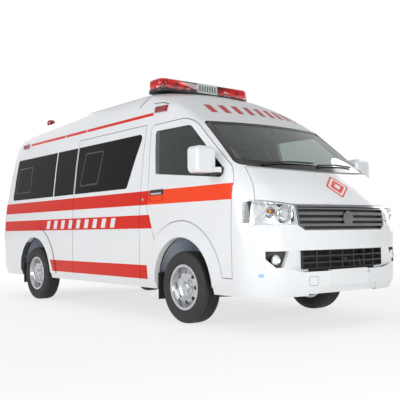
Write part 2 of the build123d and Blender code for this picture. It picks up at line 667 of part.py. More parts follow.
def wipers():
    """Two arms parked along the foot of the windscreen, each with its blade."""
    arms = []
    for pivot_y in WIPER_PIVOTS:
        foot_z = SCREEN_BOTTOM_Z[0] + WIPER_RISE[0]
        tip_z = SCREEN_BOTTOM_Z[0] + WIPER_RISE[1]
        head = off_screen(pivot_y, foot_z, 18)
        middle = off_screen(pivot_y + WIPER_REACH / 2, tip_z, 15)
        tip = off_screen(pivot_y + WIPER_REACH, tip_z, 13)
        post = rod(off_screen(pivot_y, foot_z, 2 * RUN_GAP), head, 13)
        arms.append(post + rod(head, middle, 6) + rod(middle, tip, 8))
    put("wipers", *arms)


def cab_and_floor():
    """Floor, wheel houses, partition, dashboard, wheel, column and seats."""
    slab = block(-2600, TOE_X, -1000, 1000, FLOOR_BOTTOM_Z, FLOOR_BOTTOM_Z + FLOOR_T)
    slab = slab & hull(WALL + SHUT_GAP, 0, SILL_Z - 100)
    latch = block(-3000, -2560, -40, 40, FLOOR_BOTTOM_Z, FLOOR_BOTTOM_Z + FLOOR_T) & hull(WALL + RUN_GAP)
    slab += latch
    toe = block(TOE_X - 20, TOE_X, -780, 780, FLOOR_BOTTOM_Z + FLOOR_T - 1, DASH_BOTTOM_Z - RUN_GAP)
    slab = slab + (toe & hull(WALL + SHUT_GAP))
    for axle_x, near in ((FRONT_AXLE_X, FRONT_HOUSE_Y), (REAR_AXLE_X, REAR_HOUSE_Y)):
        cut = block(axle_x - ARCH_R - LINER_T - 1, axle_x + ARCH_R + LINER_T + 1, -1000, -near + LINER_T + 1, 0, 1200)
        slab -= cut
        slab -= flip(cut)
    slab -= block(ENGINE_X[0] - 20, ENGINE_X[1] + 20, -ENGINE_HALF - 20, ENGINE_HALF + 20, 0, 1000)
    cover = block(ENGINE_X[0] - 40, ENGINE_X[1] + 40, -ENGINE_HALF - 40, ENGINE_HALF + 40,
                  FLOOR_BOTTOM_Z + FLOOR_T, ENGINE_TOP_Z + 40)
    cover -= block(ENGINE_X[0] - 20, ENGINE_X[1] + 20, -ENGINE_HALF - 20, ENGINE_HALF + 20, 0, ENGINE_TOP_Z + 20)
    mat_z = FLOOR_BOTTOM_Z + FLOOR_T
    mat = block(-2380, PARTITION_X - 20, -LOAD_MAT_HALF, LOAD_MAT_HALF, mat_z, mat_z + LOAD_MAT_T)
    put("floor", slab + cover + mat)
    houses = []
    for axle_x, near in ((FRONT_AXLE_X, FRONT_HOUSE_Y), (REAR_AXLE_X, REAR_HOUSE_Y)):
        upper = block(axle_x - 600, axle_x + 600, -1300, 0, ARCH_Z, 1200)
        liner = arch(axle_x, ARCH_R + LINER_T, near - LINER_T, LINER_OUT_Y) - arch(axle_x, ARCH_R, near, 1300)
        liner -= block(axle_x - 60, axle_x + 60, -near - 1, -near + LINER_T + 1, 0, UPPER_ARM_Z + 50)
        houses.append(solid_of(liner & upper))
    put("wheel_houses", *houses, *[flip(house) for house in houses])

    wall = block(PARTITION_X, PARTITION_X + 25, -1000, 1000, FLOOR_BOTTOM_Z + FLOOR_T, 2230)
    wall = wall & hull(WALL + RUN_GAP, ROOF_WALL + RUN_GAP)
    wall -= extrude(Plane.YZ.offset(PARTITION_X - 50) * Pos(0, 1560) * RectangleRounded(900, 420, 60), 120)
    put("partition", wall)

    profile = Polyline((TOE_X + RUN_GAP, DASH_BOTTOM_Z), (TOE_X - 120, 1040), (TOE_X - 130, 1150), (TOE_X - 60, 1250),
                       (2420, 1300), (2420, 1100), (TOE_X + RUN_GAP, 1100), close=True)
    dash = extrude(Plane.XZ.offset(-790) * make_face(profile), 1580)
    dash = dash & hull(WALL + 10)
    put("dashboard", dash)

    centre = Vector(*STEER_AT)
    way = Vector(sin(radians(STEER_TILT)), 0, -cos(radians(STEER_TILT)))
    plane = Plane(centre, x_dir=(0, 1, 0), z_dir=-way)
    section = Plane(centre, x_dir=plane.x_dir, z_dir=plane.y_dir) * Pos(190, 0) * RegularPolygon(15, 8)
    ring = revolve(section, Axis(centre, plane.z_dir))
    wheel = rod(centre - way * 14, centre + way * 46, 62) + rod(centre + way * 40, centre + way * 150, 11)
    for turn in (0, 180, 270):
        reach = plane.x_dir * cos(radians(turn)) + plane.y_dir * sin(radians(turn))
        wheel += rod(centre + reach * 50, centre + reach * 188, 12)
    put("steering_wheel", wheel + ring)
    tube = rod(centre + way * 56, centre + way * 330, 30)
    tube -= rod(centre + way * 40, centre + way * 152, 11.05)
    column = solid_of(tube - dash)
    parts = sorted(column.solids(), key=lambda piece: piece.center().Z)
    put("steering_column", parts[-1])

    seats = []
    for y in (-SEAT_Y, SEAT_Y):
        base = block(SEAT_X - 190, SEAT_X + 230, y - 205, y + 205, SEAT_Z - 90, SEAT_Z)
        cushion = Pos(SEAT_X + 20, y, SEAT_Z + 60) * Box(500, 480, 120)
        cushion = fillet(cushion.edges().filter_by(Axis.Y), 40)
        back = Pos(SEAT_X - 245, y, SEAT_Z + 390) * Rot(0, -14, 0) * fillet(Box(110, 470, 590).edges().filter_by(Axis.X), 60)
        head = Pos(SEAT_X - 335, y, SEAT_Z + 765) * Rot(0, -14, 0) * fillet(Box(90, 270, 170).edges().filter_by(Axis.X), 50)
        stalks = [rod((SEAT_X - 318, y + side, SEAT_Z + 640), (SEAT_X - 330, y + side, SEAT_Z + 720), 7)
                  for side in (-60, 60)]
        seats.append(base + cushion + back + head + stalks)
    put("seats", *seats)


def chassis():
    """Frame, engine, front suspension, rear axle, driveline, tank and flaps."""
    rails = []
    for way in (-1, 1):
        y = way * RAIL_Y
        rails.append(block(FRAME_X[0], FRAME_X[1], y - RAIL_W / 2, y + RAIL_W / 2, RAIL_BOTTOM_Z, RAIL_TOP_Z - RUN_GAP))
    frame = rails[0] + rails[1]
    for x in CROSS_X:
        frame += block(x - 30, x + 30, -RAIL_Y, RAIL_Y, RAIL_BOTTOM_Z + 10, RAIL_TOP_Z - 20)
    for way in (-1, 1):
        for x in OUTRIGGER_X:
            y0, y1 = sorted((way * RAIL_Y, way * (SILL_BOX_Y - SILL_BOX_W - RUN_GAP)))
            frame += block(x - 25, x + 25, y0, y1, RAIL_TOP_Z - 60, RAIL_TOP_Z - RUN_GAP)
        y = way * RAIL_Y
        horn = block(FRAME_X[1] - 1, 3000, y - 25, y + 25, RAIL_BOTTOM_Z + 10, RAIL_BOTTOM_Z + 60)
        frame += horn & hull(WALL + RUN_GAP)
        tail = block(-3000, FRAME_X[0] + 1, y - 25, y + 25, RAIL_BOTTOM_Z + 10, RAIL_BOTTOM_Z + 60)
        frame += tail & hull(WALL + RUN_GAP)
    eye_x = FRAME_X[0] + 40
    put("chassis_frame", frame)
    eye = block(eye_x - TOW_EYE_OUT_R, eye_x + TOW_EYE_OUT_R, -RAIL_Y - 8, -RAIL_Y + 8, TOW_EYE_Z, RAIL_BOTTOM_Z)
    eye += rod((eye_x, -RAIL_Y - 8, TOW_EYE_Z), (eye_x, -RAIL_Y + 8, TOW_EYE_Z), TOW_EYE_OUT_R)
    eye -= rod((eye_x, -RAIL_Y - 20, TOW_EYE_Z), (eye_x, -RAIL_Y + 20, TOW_EYE_Z), TOW_EYE_R)
    put("tow_eye", eye)

    engine = block(ENGINE_X[0], ENGINE_X[1], -ENGINE_HALF, ENGINE_HALF, ENGINE_BOTTOM_Z, ENGINE_TOP_Z)
    engine += block(ENGINE_X[0] - 520, ENGINE_X[0], -120, 120, ENGINE_BOTTOM_Z + 20, ENGINE_BOTTOM_Z + 190)
    for way in (-1, 1):
        y0, y1 = sorted((way * ENGINE_HALF, way * (RAIL_Y - RAIL_W / 2 - RUN_GAP)))
        engine += block(ENGINE_X[0] + 100, ENGINE_X[0] + 180, y0, y1, RAIL_BOTTOM_Z + 20, RAIL_BOTTOM_Z + 80)
    engine -= block(CROSS_X[1] - 40, CROSS_X[1] + 40, -RAIL_Y, RAIL_Y, RAIL_BOTTOM_Z, RAIL_TOP_Z + 4)
    put("engine", engine)

    beam = block(FRONT_AXLE_X - 60, FRONT_AXLE_X + 60, -330, 330, ARM_Z - 25, ARM_Z + 35)
    for way in (-1, 1):
        pin_y = way * KINGPIN_Y
        beam += rod((FRONT_AXLE_X, way * 300, ARM_Z), (FRONT_AXLE_X, pin_y, ARM_Z), 20)
        beam += rod((FRONT_AXLE_X - 150, way * 330, ARM_Z), (FRONT_AXLE_X, way * 620, ARM_Z), 15)
        beam += rod((FRONT_AXLE_X + 150, way * 330, ARM_Z), (FRONT_AXLE_X, way * 620, ARM_Z), 15)
        beam += block(FRONT_AXLE_X - 170, FRONT_AXLE_X + 170, way * 330 - 20, way * 330 + 20, ARM_Z - 20, ARM_Z + 20)
        beam += Pos(FRONT_AXLE_X, pin_y, ARM_Z) * Cylinder(26, 44)
        beam += Pos(FRONT_AXLE_X, pin_y, (ARM_Z + UPPER_ARM_Z) / 2) * Cylinder(12, UPPER_ARM_Z - ARM_Z)
        beam += Pos(FRONT_AXLE_X, pin_y, UPPER_ARM_Z) * Cylinder(24, 26)
        beam += rod((FRONT_AXLE_X, way * (RAIL_Y + RAIL_W / 2 + RUN_GAP), UPPER_ARM_Z),
                    (FRONT_AXLE_X, pin_y, UPPER_ARM_Z), 12)
        beam += block(FRONT_AXLE_X - 40, FRONT_AXLE_X + 40, way * RAIL_Y - 45, way * RAIL_Y + 45,
                      ARM_Z - 20, RAIL_BOTTOM_Z - RUN_GAP)
    put("front_suspension", beam)

    y = -KINGPIN_Y
    low = ARM_Z + 24
    high = UPPER_ARM_Z - 15
    upright = Pos(FRONT_AXLE_X, y, (low + high) / 2) * Cylinder(28, high - low)
    stub = rod((FRONT_AXLE_X, y, TYRE_R), (FRONT_AXLE_X, -STUB_OUT_Y, TYRE_R), STUB_R)
    plate = rod((FRONT_AXLE_X, y - 32, TYRE_R), (FRONT_AXLE_X, -DRUM_OUT_Y, TYRE_R), BRAKE_R - 22)
    link = rod((FRONT_AXLE_X, y, ARM_Z + 60), (FRONT_AXLE_X - 120, y + 20, ARM_Z + 60), 13)
    knuckle = upright + stub + plate + link
    knuckle -= Pos(FRONT_AXLE_X, y, (low + high) / 2) * Cylinder(12.05, high - low + 10)
    put("knuckle_right", knuckle)
    put("knuckle_left", flip(knuckle))

    axle = rod((REAR_AXLE_X, -KINGPIN_Y, TYRE_R), (REAR_AXLE_X, KINGPIN_Y, TYRE_R), 42)
    ball = [(42, -130), (95, -90), (125, -30), (125, 30), (95, 90), (42, 130), (30, 130), (30, -130)]
    ball = revolve(make_face(Polyline(*ball, close=True)), Axis.Y)
    axle += Pos(REAR_AXLE_X, 60, TYRE_R) * ball
    for way in (-1, 1):
        axle += rod((REAR_AXLE_X, way * KINGPIN_Y, TYRE_R), (REAR_AXLE_X, way * DRUM_OUT_Y, TYRE_R), BRAKE_R - 12)
        axle += rod((REAR_AXLE_X, way * KINGPIN_Y, TYRE_R), (REAR_AXLE_X, way * STUB_OUT_Y, TYRE_R), STUB_R)
    put("rear_axle", axle)

    springs = []
    for way in (-1, 1):
        y = way * SPRING_Y
        arc = ThreePointArc((REAR_AXLE_X - SPRING_HALF, RAIL_BOTTOM_Z - 30),
                            (REAR_AXLE_X, TYRE_R + 42 + RUN_GAP),
                            (REAR_AXLE_X + SPRING_HALF, RAIL_BOTTOM_Z - 30))
        top = ThreePointArc((REAR_AXLE_X - SPRING_HALF, RAIL_BOTTOM_Z - 14),
                            (REAR_AXLE_X, TYRE_R + 42 + 34),
                            (REAR_AXLE_X + SPRING_HALF, RAIL_BOTTOM_Z - 14))
        outline_edges = [arc, Line(arc @ 1, top @ 1), top, Line(top @ 0, arc @ 0)]
        leaf = extrude(Plane.XZ.offset(-y - 30) * make_face(outline_edges), 60)
        for end in (-1, 1):
            x = REAR_AXLE_X + end * (SPRING_HALF - 15)
            leaf += block(x - 18, x + 18, y - 30, y + 30, RAIL_BOTTOM_Z - 30, RAIL_BOTTOM_Z + 20)
            y0, y1 = sorted((y, way * (RAIL_Y + RAIL_W / 2 + RUN_GAP)))
            leaf += block(x - 18, x + 18, y0, y1, RAIL_BOTTOM_Z - 10, RAIL_BOTTOM_Z + 20)
        springs.append(leaf)
    put("leaf_springs", *springs)

    shaft = rod((ENGINE_X[0] - 523, 0, ENGINE_BOTTOM_Z + 100), (REAR_AXLE_X + 115, 40, TYRE_R + 20), 32)
    put("propshaft", solid_of(shaft - axle))

    pipe = rod((ENGINE_X[0] + 40, -260, EXHAUST_Z), (300, -260, EXHAUST_Z), 26)
    pipe += rod((320, -260, EXHAUST_Z), (-420, -260, EXHAUST_Z), 85)
    pipe += rod((-420, -260, EXHAUST_Z), (-1150, -260, EXHAUST_Z), 26)
    hanger_y = -RAIL_Y + RAIL_W / 2 + RUN_GAP
    pipe += block(-20, 20, hanger_y, -250, RAIL_BOTTOM_Z + 4, RAIL_BOTTOM_Z + 24)
    pipe += block(-20, 20, -270, -250, EXHAUST_Z + 60, RAIL_BOTTOM_Z + 24)
    put("exhaust", pipe)

    tank = fillet((Pos(TANK_X, 600, 375) * Box(700, 320, 220)).edges().filter_by(Axis.X), 45)
    for x in (TANK_X - 200, TANK_X + 200):
        tank += block(x - 20, x + 20, RAIL_Y + RAIL_W / 2 + RUN_GAP, 500, 470, 500)
    put("fuel_tank", tank)

    spare = Pos(SPARE_X, 0, SPARE_Z) * Cylinder(TYRE_R, TYRE_W - 20)
    spare -= Pos(SPARE_X, 0, SPARE_Z - 60) * Cylinder(RIM_R - 20, 80)
    spare += Pos(SPARE_X, 0, SPARE_Z + 20) * Cylinder(60, TYRE_W - 20)
    spare += rod((SPARE_X, 0, SPARE_Z), (SPARE_X, 0, FLOOR_BOTTOM_Z - RUN_GAP), 14)
    put("spare_wheel", spare)

    flaps = []
    for axle_x in (FRONT_AXLE_X, REAR_AXLE_X):
        x = axle_x - FLAP_BACK
        edge_x = axle_x - sqrt(ARCH_R ** 2 - FLAP_RISE ** 2) + RUN_GAP
        flap = block(x - 4, x + 4, -900, -705, FLAP_BOTTOM_Z, ARCH_Z + FLAP_RISE)
        flap += block(edge_x, x + 4, -860, -745, ARCH_Z + FLAP_RISE - 30, ARCH_Z + FLAP_RISE)
        flaps.append(flap)
    put("mud_flaps", *flaps, *[flip(flap) for flap in flaps])


def wheel_solids():
    """A right-hand rim and tyre about the origin, with the outer side at -Y."""
    half = RIM_W / 2
    outer = [(RIM_R, half), (RIM_R, half - 6), (BEAD_R, half - 10), (174, 24), (174, -36), (BEAD_R, 10 - half),
             (RIM_R, 6 - half), (RIM_R, -half)]
    inner = [(BEAD_R - 8, -half), (166, -40), (166, 26), (BEAD_R - 8, half)]
    barrel = revolve(make_face(Polyline(*[(r, -a) for r, a in outer + inner], close=True)), Axis.Y)
    face = [(0, 58), (36, 58), (44, 46), (78, 44), (110, 57), (130, 57), (168, 26), (162, 20), (124, 42), (80, 30),
            (HUB_R, 28), (HUB_R, -10), (STUB_R + 0.05, -10), (STUB_R + 0.05, 36), (0, 36)]
    disc = revolve(make_face(Polyline(*[(r, -a) for r, a in face], close=True)), Axis.Y)
    windows = []
    for step in range(RIM_WINDOWS):
        shape = Polyline((118, -14), (157, -25), (157, 25), (118, 14), close=True)
        hole = extrude(Plane.XZ.offset(-40) * make_face(shape), 120)
        windows.append(Rot(0, step * 360 / RIM_WINDOWS, 0) * hole)
    rim = barrel + (disc - windows)
    side = [(BEAD_R + RUN_GAP, half - 10.4), (RIM_R + RUN_GAP, half - 6.4), (262, TYRE_W / 2), (316, 86), (TYRE_R, 62)]
    loop = side + [(r, -a) for r, a in reversed(side)]
    tyre = revolve(make_face(Polyline(*[(r, -a) for r, a in loop], close=True)), Axis.Y)
    return rim, tyre


def wheels():
    rim, tyre = wheel_solids()
    for end, axle_x in (("front", FRONT_AXLE_X), ("rear", REAR_AXLE_X)):
        right = Location((axle_x, -WHEEL_Y, TYRE_R))
        put("rim_" + end + "_right", rim.moved(right))
        put("tyre_" + end + "_right", tyre.moved(right))
        put("rim_" + end + "_left", flip(rim.moved(right)))
        put("tyre_" + end + "_left", flip(tyre.moved(right)))


body_sides()
nose()
doors()
roof()
bumpers()
grilles()
lamps()
warning_lights()
mirrors()
wipers()
cab_and_floor()
chassis()
wheels()

os.makedirs("parts", exist_ok=True)
for name, shape in nodes.items():
    export_step(shape, "parts/" + name + ".step")
print(len(nodes), "nodes")
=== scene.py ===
import math

import bpy
from mathutils import Matrix, Vector


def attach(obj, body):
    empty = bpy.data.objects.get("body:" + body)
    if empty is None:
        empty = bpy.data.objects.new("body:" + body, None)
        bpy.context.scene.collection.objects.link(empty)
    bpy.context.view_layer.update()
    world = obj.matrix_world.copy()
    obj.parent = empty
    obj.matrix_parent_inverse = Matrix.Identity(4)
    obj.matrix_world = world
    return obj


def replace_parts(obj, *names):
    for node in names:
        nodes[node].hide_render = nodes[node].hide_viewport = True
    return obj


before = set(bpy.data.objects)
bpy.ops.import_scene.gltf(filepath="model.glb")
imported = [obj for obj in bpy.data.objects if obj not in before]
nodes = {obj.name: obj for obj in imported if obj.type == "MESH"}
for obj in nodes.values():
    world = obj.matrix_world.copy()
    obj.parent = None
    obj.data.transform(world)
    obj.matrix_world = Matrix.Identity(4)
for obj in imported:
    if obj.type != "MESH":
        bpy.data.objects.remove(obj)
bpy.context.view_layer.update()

# Camera, seen from the van's front right, low down, with a short telephoto lens.
# Its place and turn were worked out from the wheels and the edges of the body.
CAMERA_AT = Vector((6.393, -4.556, 0.833))
CAMERA_YAW = math.radians(141.66)
CAMERA_PITCH = math.radians(2.675)
CAMERA_ROLL = math.radians(-0.706)
FOCAL_PIXELS, FRAME_PIXELS, SENSOR_MM = 667.0, 400.0, 36.0

forward = Vector((
    math.cos(CAMERA_YAW) * math.cos(CAMERA_PITCH),
    math.sin(CAMERA_YAW) * math.cos(CAMERA_PITCH),
    math.sin(CAMERA_PITCH)))
level = Vector((math.sin(CAMERA_YAW), -math.cos(CAMERA_YAW), 0))
upright = level.cross(forward)
across = level * math.cos(CAMERA_ROLL) + upright * math.sin(CAMERA_ROLL)
above = upright * math.cos(CAMERA_ROLL) - level * math.sin(CAMERA_ROLL)
bpy.ops.object.camera_add()
camera = bpy.context.object
camera.matrix_world = Matrix((
    (across.x, above.x, -forward.x, CAMERA_AT.x),
    (across.y, above.y, -forward.y, CAMERA_AT.y),
    (across.z, above.z, -forward.z, CAMERA_AT.z),
    (0, 0, 0, 1)))
camera.data.sensor_width = SENSOR_MM
camera.data.lens = SENSOR_MM * FOCAL_PIXELS / FRAME_PIXELS
camera.data.clip_end = 200.0
bpy.context.scene.camera = camera
bpy.context.scene.view_settings.view_transform = "Standard"

# Studio: a white floor that fades into a white surround, and four soft lamps.
# The floor keeps the van's shadow near the wheels.
FLOOR_RADIUS, FLOOR_SIDES = 60.0, 96
FADE_FROM, FADE_TO, GLOW_NEAR = 3.0, 8.0, 0.72
FLOOR_PALE = (0.94, 0.94, 0.94, 1)
SKY_PALE, SKY_STRENGTH, SKY_MIRRORED = (0.94, 0.97, 1.0, 1), 0.34, 0.4
PURE_WHITE = (1, 1, 1, 1)
bpy.ops.mesh.primitive_circle_add(vertices=FLOOR_SIDES, radius=FLOOR_RADIUS, fill_type="NGON")
floor = bpy.context.object
floor.name = "studio_floor"
floor_mat = bpy.data.materials.new("studio_floor")
floor_mat.use_nodes = True
tree = floor_mat.node_tree
tree.nodes.clear()
coords = tree.nodes.new("ShaderNodeTexCoord")
reach = tree.nodes.new("ShaderNodeVectorMath")
reach.operation = "LENGTH"
fade = tree.nodes.new("ShaderNodeMapRange")
fade.interpolation_type = "SMOOTHSTEP"
fade.inputs["From Min"].default_value = FADE_FROM
fade.inputs["From Max"].default_value = FADE_TO
fade.inputs["To Min"].default_value = GLOW_NEAR
matt = tree.nodes.new("ShaderNodeBsdfDiffuse")
matt.inputs["Color"].default_value = FLOOR_PALE
glow = tree.nodes.new("ShaderNodeEmission")
glow.inputs["Color"].default_value = PURE_WHITE
glow.inputs["Strength"].default_value = 1.0
mix = tree.nodes.new("ShaderNodeMixShader")
out = tree.nodes.new("ShaderNodeOutputMaterial")
path = tree.nodes.new("ShaderNodeLightPath")
looked = tree.nodes.new("ShaderNodeMath")
looked.operation = "MAXIMUM"
bounced = tree.nodes.new("ShaderNodeMath")
bounced.operation = "MAXIMUM"
share = tree.nodes.new("ShaderNodeMath")
share.operation = "MULTIPLY"
tree.links.new(coords.outputs["Object"], reach.inputs[0])
tree.links.new(reach.outputs["Value"], fade.inputs["Value"])
tree.links.new(path.outputs["Is Camera Ray"], looked.inputs[0])
tree.links.new(path.outputs["Is Transmission Ray"], looked.inputs[1])
tree.links.new(looked.outputs["Value"], bounced.inputs[0])
tree.links.new(path.outputs["Is Glossy Ray"], bounced.inputs[1])
tree.links.new(bounced.outputs["Value"], share.inputs[0])
tree.links.new(fade.outputs["Result"], share.inputs[1])
tree.links.new(share.outputs["Value"], mix.inputs["Fac"])
tree.links.new(matt.outputs["BSDF"], mix.inputs[1])
tree.links.new(glow.outputs["Emission"], mix.inputs[2])
tree.links.new(mix.outputs["Shader"], out.inputs["Surface"])
floor.data.materials.append(floor_mat)

world = bpy.data.worlds.new("studio")
bpy.context.scene.world = world
world.use_nodes = True
tree = world.node_tree
tree.nodes.clear()
path = tree.nodes.new("ShaderNodeLightPath")
seen = tree.nodes.new("ShaderNodeMath")
seen.operation = "MAXIMUM"
mirrored = tree.nodes.new("ShaderNodeMath")
mirrored.operation = "MULTIPLY"
mirrored.inputs[1].default_value = SKY_MIRRORED
shown = tree.nodes.new("ShaderNodeMath")
shown.operation = "MAXIMUM"
ambient = tree.nodes.new("ShaderNodeBackground")
ambient.inputs["Color"].default_value = SKY_PALE
ambient.inputs["Strength"].default_value = SKY_STRENGTH
white = tree.nodes.new("ShaderNodeBackground")
white.inputs["Color"].default_value = PURE_WHITE
white.inputs["Strength"].default_value = 1.0
mix = tree.nodes.new("ShaderNodeMixShader")
out = tree.nodes.new("ShaderNodeOutputWorld")
tree.links.new(path.outputs["Is Camera Ray"], seen.inputs[0])
tree.links.new(path.outputs["Is Transmission Ray"], seen.inputs[1])
tree.links.new(path.outputs["Is Glossy Ray"], mirrored.inputs[0])
tree.links.new(seen.outputs["Value"], shown.inputs[0])
tree.links.new(mirrored.outputs["Value"], shown.inputs[1])
tree.links.new(shown.outputs["Value"], mix.inputs["Fac"])
tree.links.new(ambient.outputs["Background"], mix.inputs[1])
tree.links.new(white.outputs["Background"], mix.inputs[2])
tree.links.new(mix.outputs["Shader"], out.inputs["Surface"])

LAMPS = [  # name, place, aim, size, watts
    ("side_lamp", (0.5, -9.0, 3.2), (0.3, 0, 0.9), 6.0, 360),
    ("nose_lamp", (7.2, -2.2, 1.2), (2.3, 0, 0.8), 3.0, 165),
    ("top_lamp", (0.0, -1.0, 8.5), (0, 0, 0), 7.0, 70),
    ("far_lamp", (1.0, 8.5, 4.0), (0, 0, 1.0), 6.0, 260),
    ("back_lamp", (-8.5, 0.5, 3.6), (-1.0, 0, 1.0), 5.0, 240),
]
for name, place, aim, size, watts in LAMPS:
    bpy.ops.object.light_add(type="AREA", location=place)
    lamp = bpy.context.object
    lamp.name = name
    lamp.rotation_euler = (Vector(aim) - Vector(place)).to_track_quat("-Z", "Y").to_euler()
    lamp.data.shape = "DISK"
    lamp.data.size = size
    lamp.data.energy = watts

# White painted body: welded steel sides, nose and doors, a moulded roof cap and
# plastic bumpers, all sprayed one glossy white. Four red tapes run along each
# side and turn more orange on the front doors. Inside, the shell has grey lining,
# painted much darker than it is as painted shade for the dim inside of the shell.
WHITE = (0.79, 0.80, 0.82, 1)
WHITE_WARM = (0.76, 0.77, 0.775, 1)
# Lining colour painted much darker than the real light grey lining: painted shade for the dim inside of the
# shell.
LINING_SHADED = (0.085, 0.088, 0.092, 1)
STRIPE_RED = (0.64, 0.018, 0.006, 1)
STRIPE_ORANGE = (0.86, 0.060, 0.014, 1)
# Each tape: bottom, top, rear x, front x, slant of its rear and front end, least |y|
STRIPES = [
    (1.095, 1.232, -2.66, 2.228, 0.0, 0.0, 0.895),
    (0.865, 0.997, -2.66, 1.070, 0.0, -0.38, 0.905),
    (0.375, 0.510, -1.080, 0.985, -0.37, 0.0, 0.900),
    (1.988, 2.020, -1.940, 0.940, 0.0, 0.0, 0.780),
]
# The plain white bars within the second tape, and the slanted cuts in the thin top one
BAR_REAR, BAR_STEP, BAR_COUNT = -1.235, 0.19, 9
BAR_BOTTOM, BAR_TOP, BAR_LENGTH, BAR_SLANT, BAR_SIDE = 0.882, 0.980, 0.085, 0.3, 0.9
TAPE_GAPS, GAP_LENGTH, GAP_SLANT = (-0.977, -0.449), 0.018, 0.9
GAP_BOTTOM, GAP_TOP, GAP_SIDE = 1.98, 2.03, 0.78
BODY_GLOSS, LINING_ROUGH = 0.5, 0.8


def wire(tree, source, target):
    """Link an output to an input, or set the input to a plain number."""
    if isinstance(source, (int, float)):
        target.default_value = source
    else:
        tree.links.new(source, target)


def calc(tree, operation, first, second=0.0):
    """A math node's output, from outputs or numbers."""
    node = tree.nodes.new("ShaderNodeMath")
    node.operation = operation
    wire(tree, first, node.inputs[0])
    wire(tree, second, node.inputs[1])
    return node.outputs[0]


def mix_color(tree, mask, under, over):
    """over where the mask is 1, under elsewhere."""
    node = tree.nodes.new("ShaderNodeMix")
    node.data_type = "RGBA"
    wire(tree, mask, node.inputs["Factor"])
    for value, socket in ((under, node.inputs[6]), (over, node.inputs[7])):
        if isinstance(value, tuple):
            socket.default_value = value
        else:
            tree.links.new(value, socket)
    return node.outputs[2]


def axes_of(tree):
    """X, Y and Z of the place on the van."""
    place = tree.nodes.new("ShaderNodeTexCoord")
    split = tree.nodes.new("ShaderNodeSeparateXYZ")
    tree.links.new(place.outputs["Object"], split.inputs[0])
    return split.outputs


def new_group(name, inputs, outputs):
    """An empty shader node group with named sockets."""
    group = bpy.data.node_groups.new(name, "ShaderNodeTree")
    for label, kind, value in inputs:
        socket = group.interface.new_socket(label, in_out="INPUT", socket_type=kind)
        socket.default_value = value
    for label, kind in outputs:
        group.interface.new_socket(label, in_out="OUTPUT", socket_type=kind)
    return group, group.nodes.new("NodeGroupInput"), group.nodes.new("NodeGroupOutput")


def tape_group():
    """One straight tape on both sides, with square or slanted ends."""
    labels = ["Bottom", "Top", "Rear", "Front", "Rear Slant", "Front Slant", "Side"]
    group, start, end = new_group(
        "side_tape", [(label, "NodeSocketFloat", 0.0) for label in labels],
        [("Mask", "NodeSocketFloat")])
    x, y, z = axes_of(group)
    given = start.outputs
    rise = calc(group, "SUBTRACT", z, given["Bottom"])
    rear = calc(group, "ADD", given["Rear"], calc(group, "MULTIPLY", rise, given["Rear Slant"]))
    front = calc(group, "ADD", given["Front"], calc(group, "MULTIPLY", rise, given["Front Slant"]))
    tests = [
        calc(group, "GREATER_THAN", rise, 0.0),
        calc(group, "LESS_THAN", z, given["Top"]),
        calc(group, "GREATER_THAN", x, rear),
        calc(group, "LESS_THAN", x, front),
        calc(group, "GREATER_THAN", calc(group, "ABSOLUTE", y), given["Side"]),
    ]
    mask = tests[0]
    for test in tests[1:]:
        mask = calc(group, "MULTIPLY", mask, test)
    group.links.new(mask, end.inputs["Mask"])
    return group


def surface_group():
    """Slow change between two colours, of the roughness, and fine grain to bump."""
    group, start, end = new_group(
        "surface",
        [("Color", "NodeSocketColor", PURE_WHITE), ("Other Color", "NodeSocketColor", PURE_WHITE),
         ("Patch Scale", "NodeSocketFloat", 3.0), ("Rough Low", "NodeSocketFloat", 0.3),
         ("Rough High", "NodeSocketFloat", 0.4), ("Grain Scale", "NodeSocketFloat", 800.0)],
        [("Color", "NodeSocketColor"), ("Roughness", "NodeSocketFloat"),
         ("Height", "NodeSocketFloat")])
    place = group.nodes.new("ShaderNodeTexCoord")
    patch = group.nodes.new("ShaderNodeTexNoise")
    patch.inputs["Detail"].default_value = 5.0
    fine = group.nodes.new("ShaderNodeTexNoise")
    fine.inputs["Detail"].default_value = 2.0
    spread = group.nodes.new("ShaderNodeMapRange")
    spread.inputs["From Min"].default_value = 0.3
    spread.inputs["From Max"].default_value = 0.7
    rough = group.nodes.new("ShaderNodeMapRange")
    group.links.new(place.outputs["Object"], patch.inputs["Vector"])
    group.links.new(place.outputs["Object"], fine.inputs["Vector"])
    group.links.new(start.outputs["Patch Scale"], patch.inputs["Scale"])
    group.links.new(start.outputs["Grain Scale"], fine.inputs["Scale"])
    group.links.new(patch.outputs["Fac"], spread.inputs["Value"])
    group.links.new(spread.outputs["Result"], rough.inputs["Value"])
    group.links.new(start.outputs["Rough Low"], rough.inputs["To Min"])
    group.links.new(start.outputs["Rough High"], rough.inputs["To Max"])
    color = mix_color(
        group, spread.outputs["Result"], start.outputs["Color"], start.outputs["Other Color"])
    group.links.new(color, end.inputs["Color"])
    group.links.new(rough.outputs["Result"], end.inputs["Roughness"])
    group.links.new(fine.outputs["Fac"], end.inputs["Height"])
    return group


side_tape = tape_group()
surface = surface_group()


def tape(tree, values):
    """Place one tape in a material and give its mask."""
    node = tree.nodes.new("ShaderNodeGroup")
    node.node_tree = side_tape
    for socket, value in zip(node.inputs, values):
        socket.default_value = value
    return node.outputs["Mask"]


COAT_ROUGH = 0.03


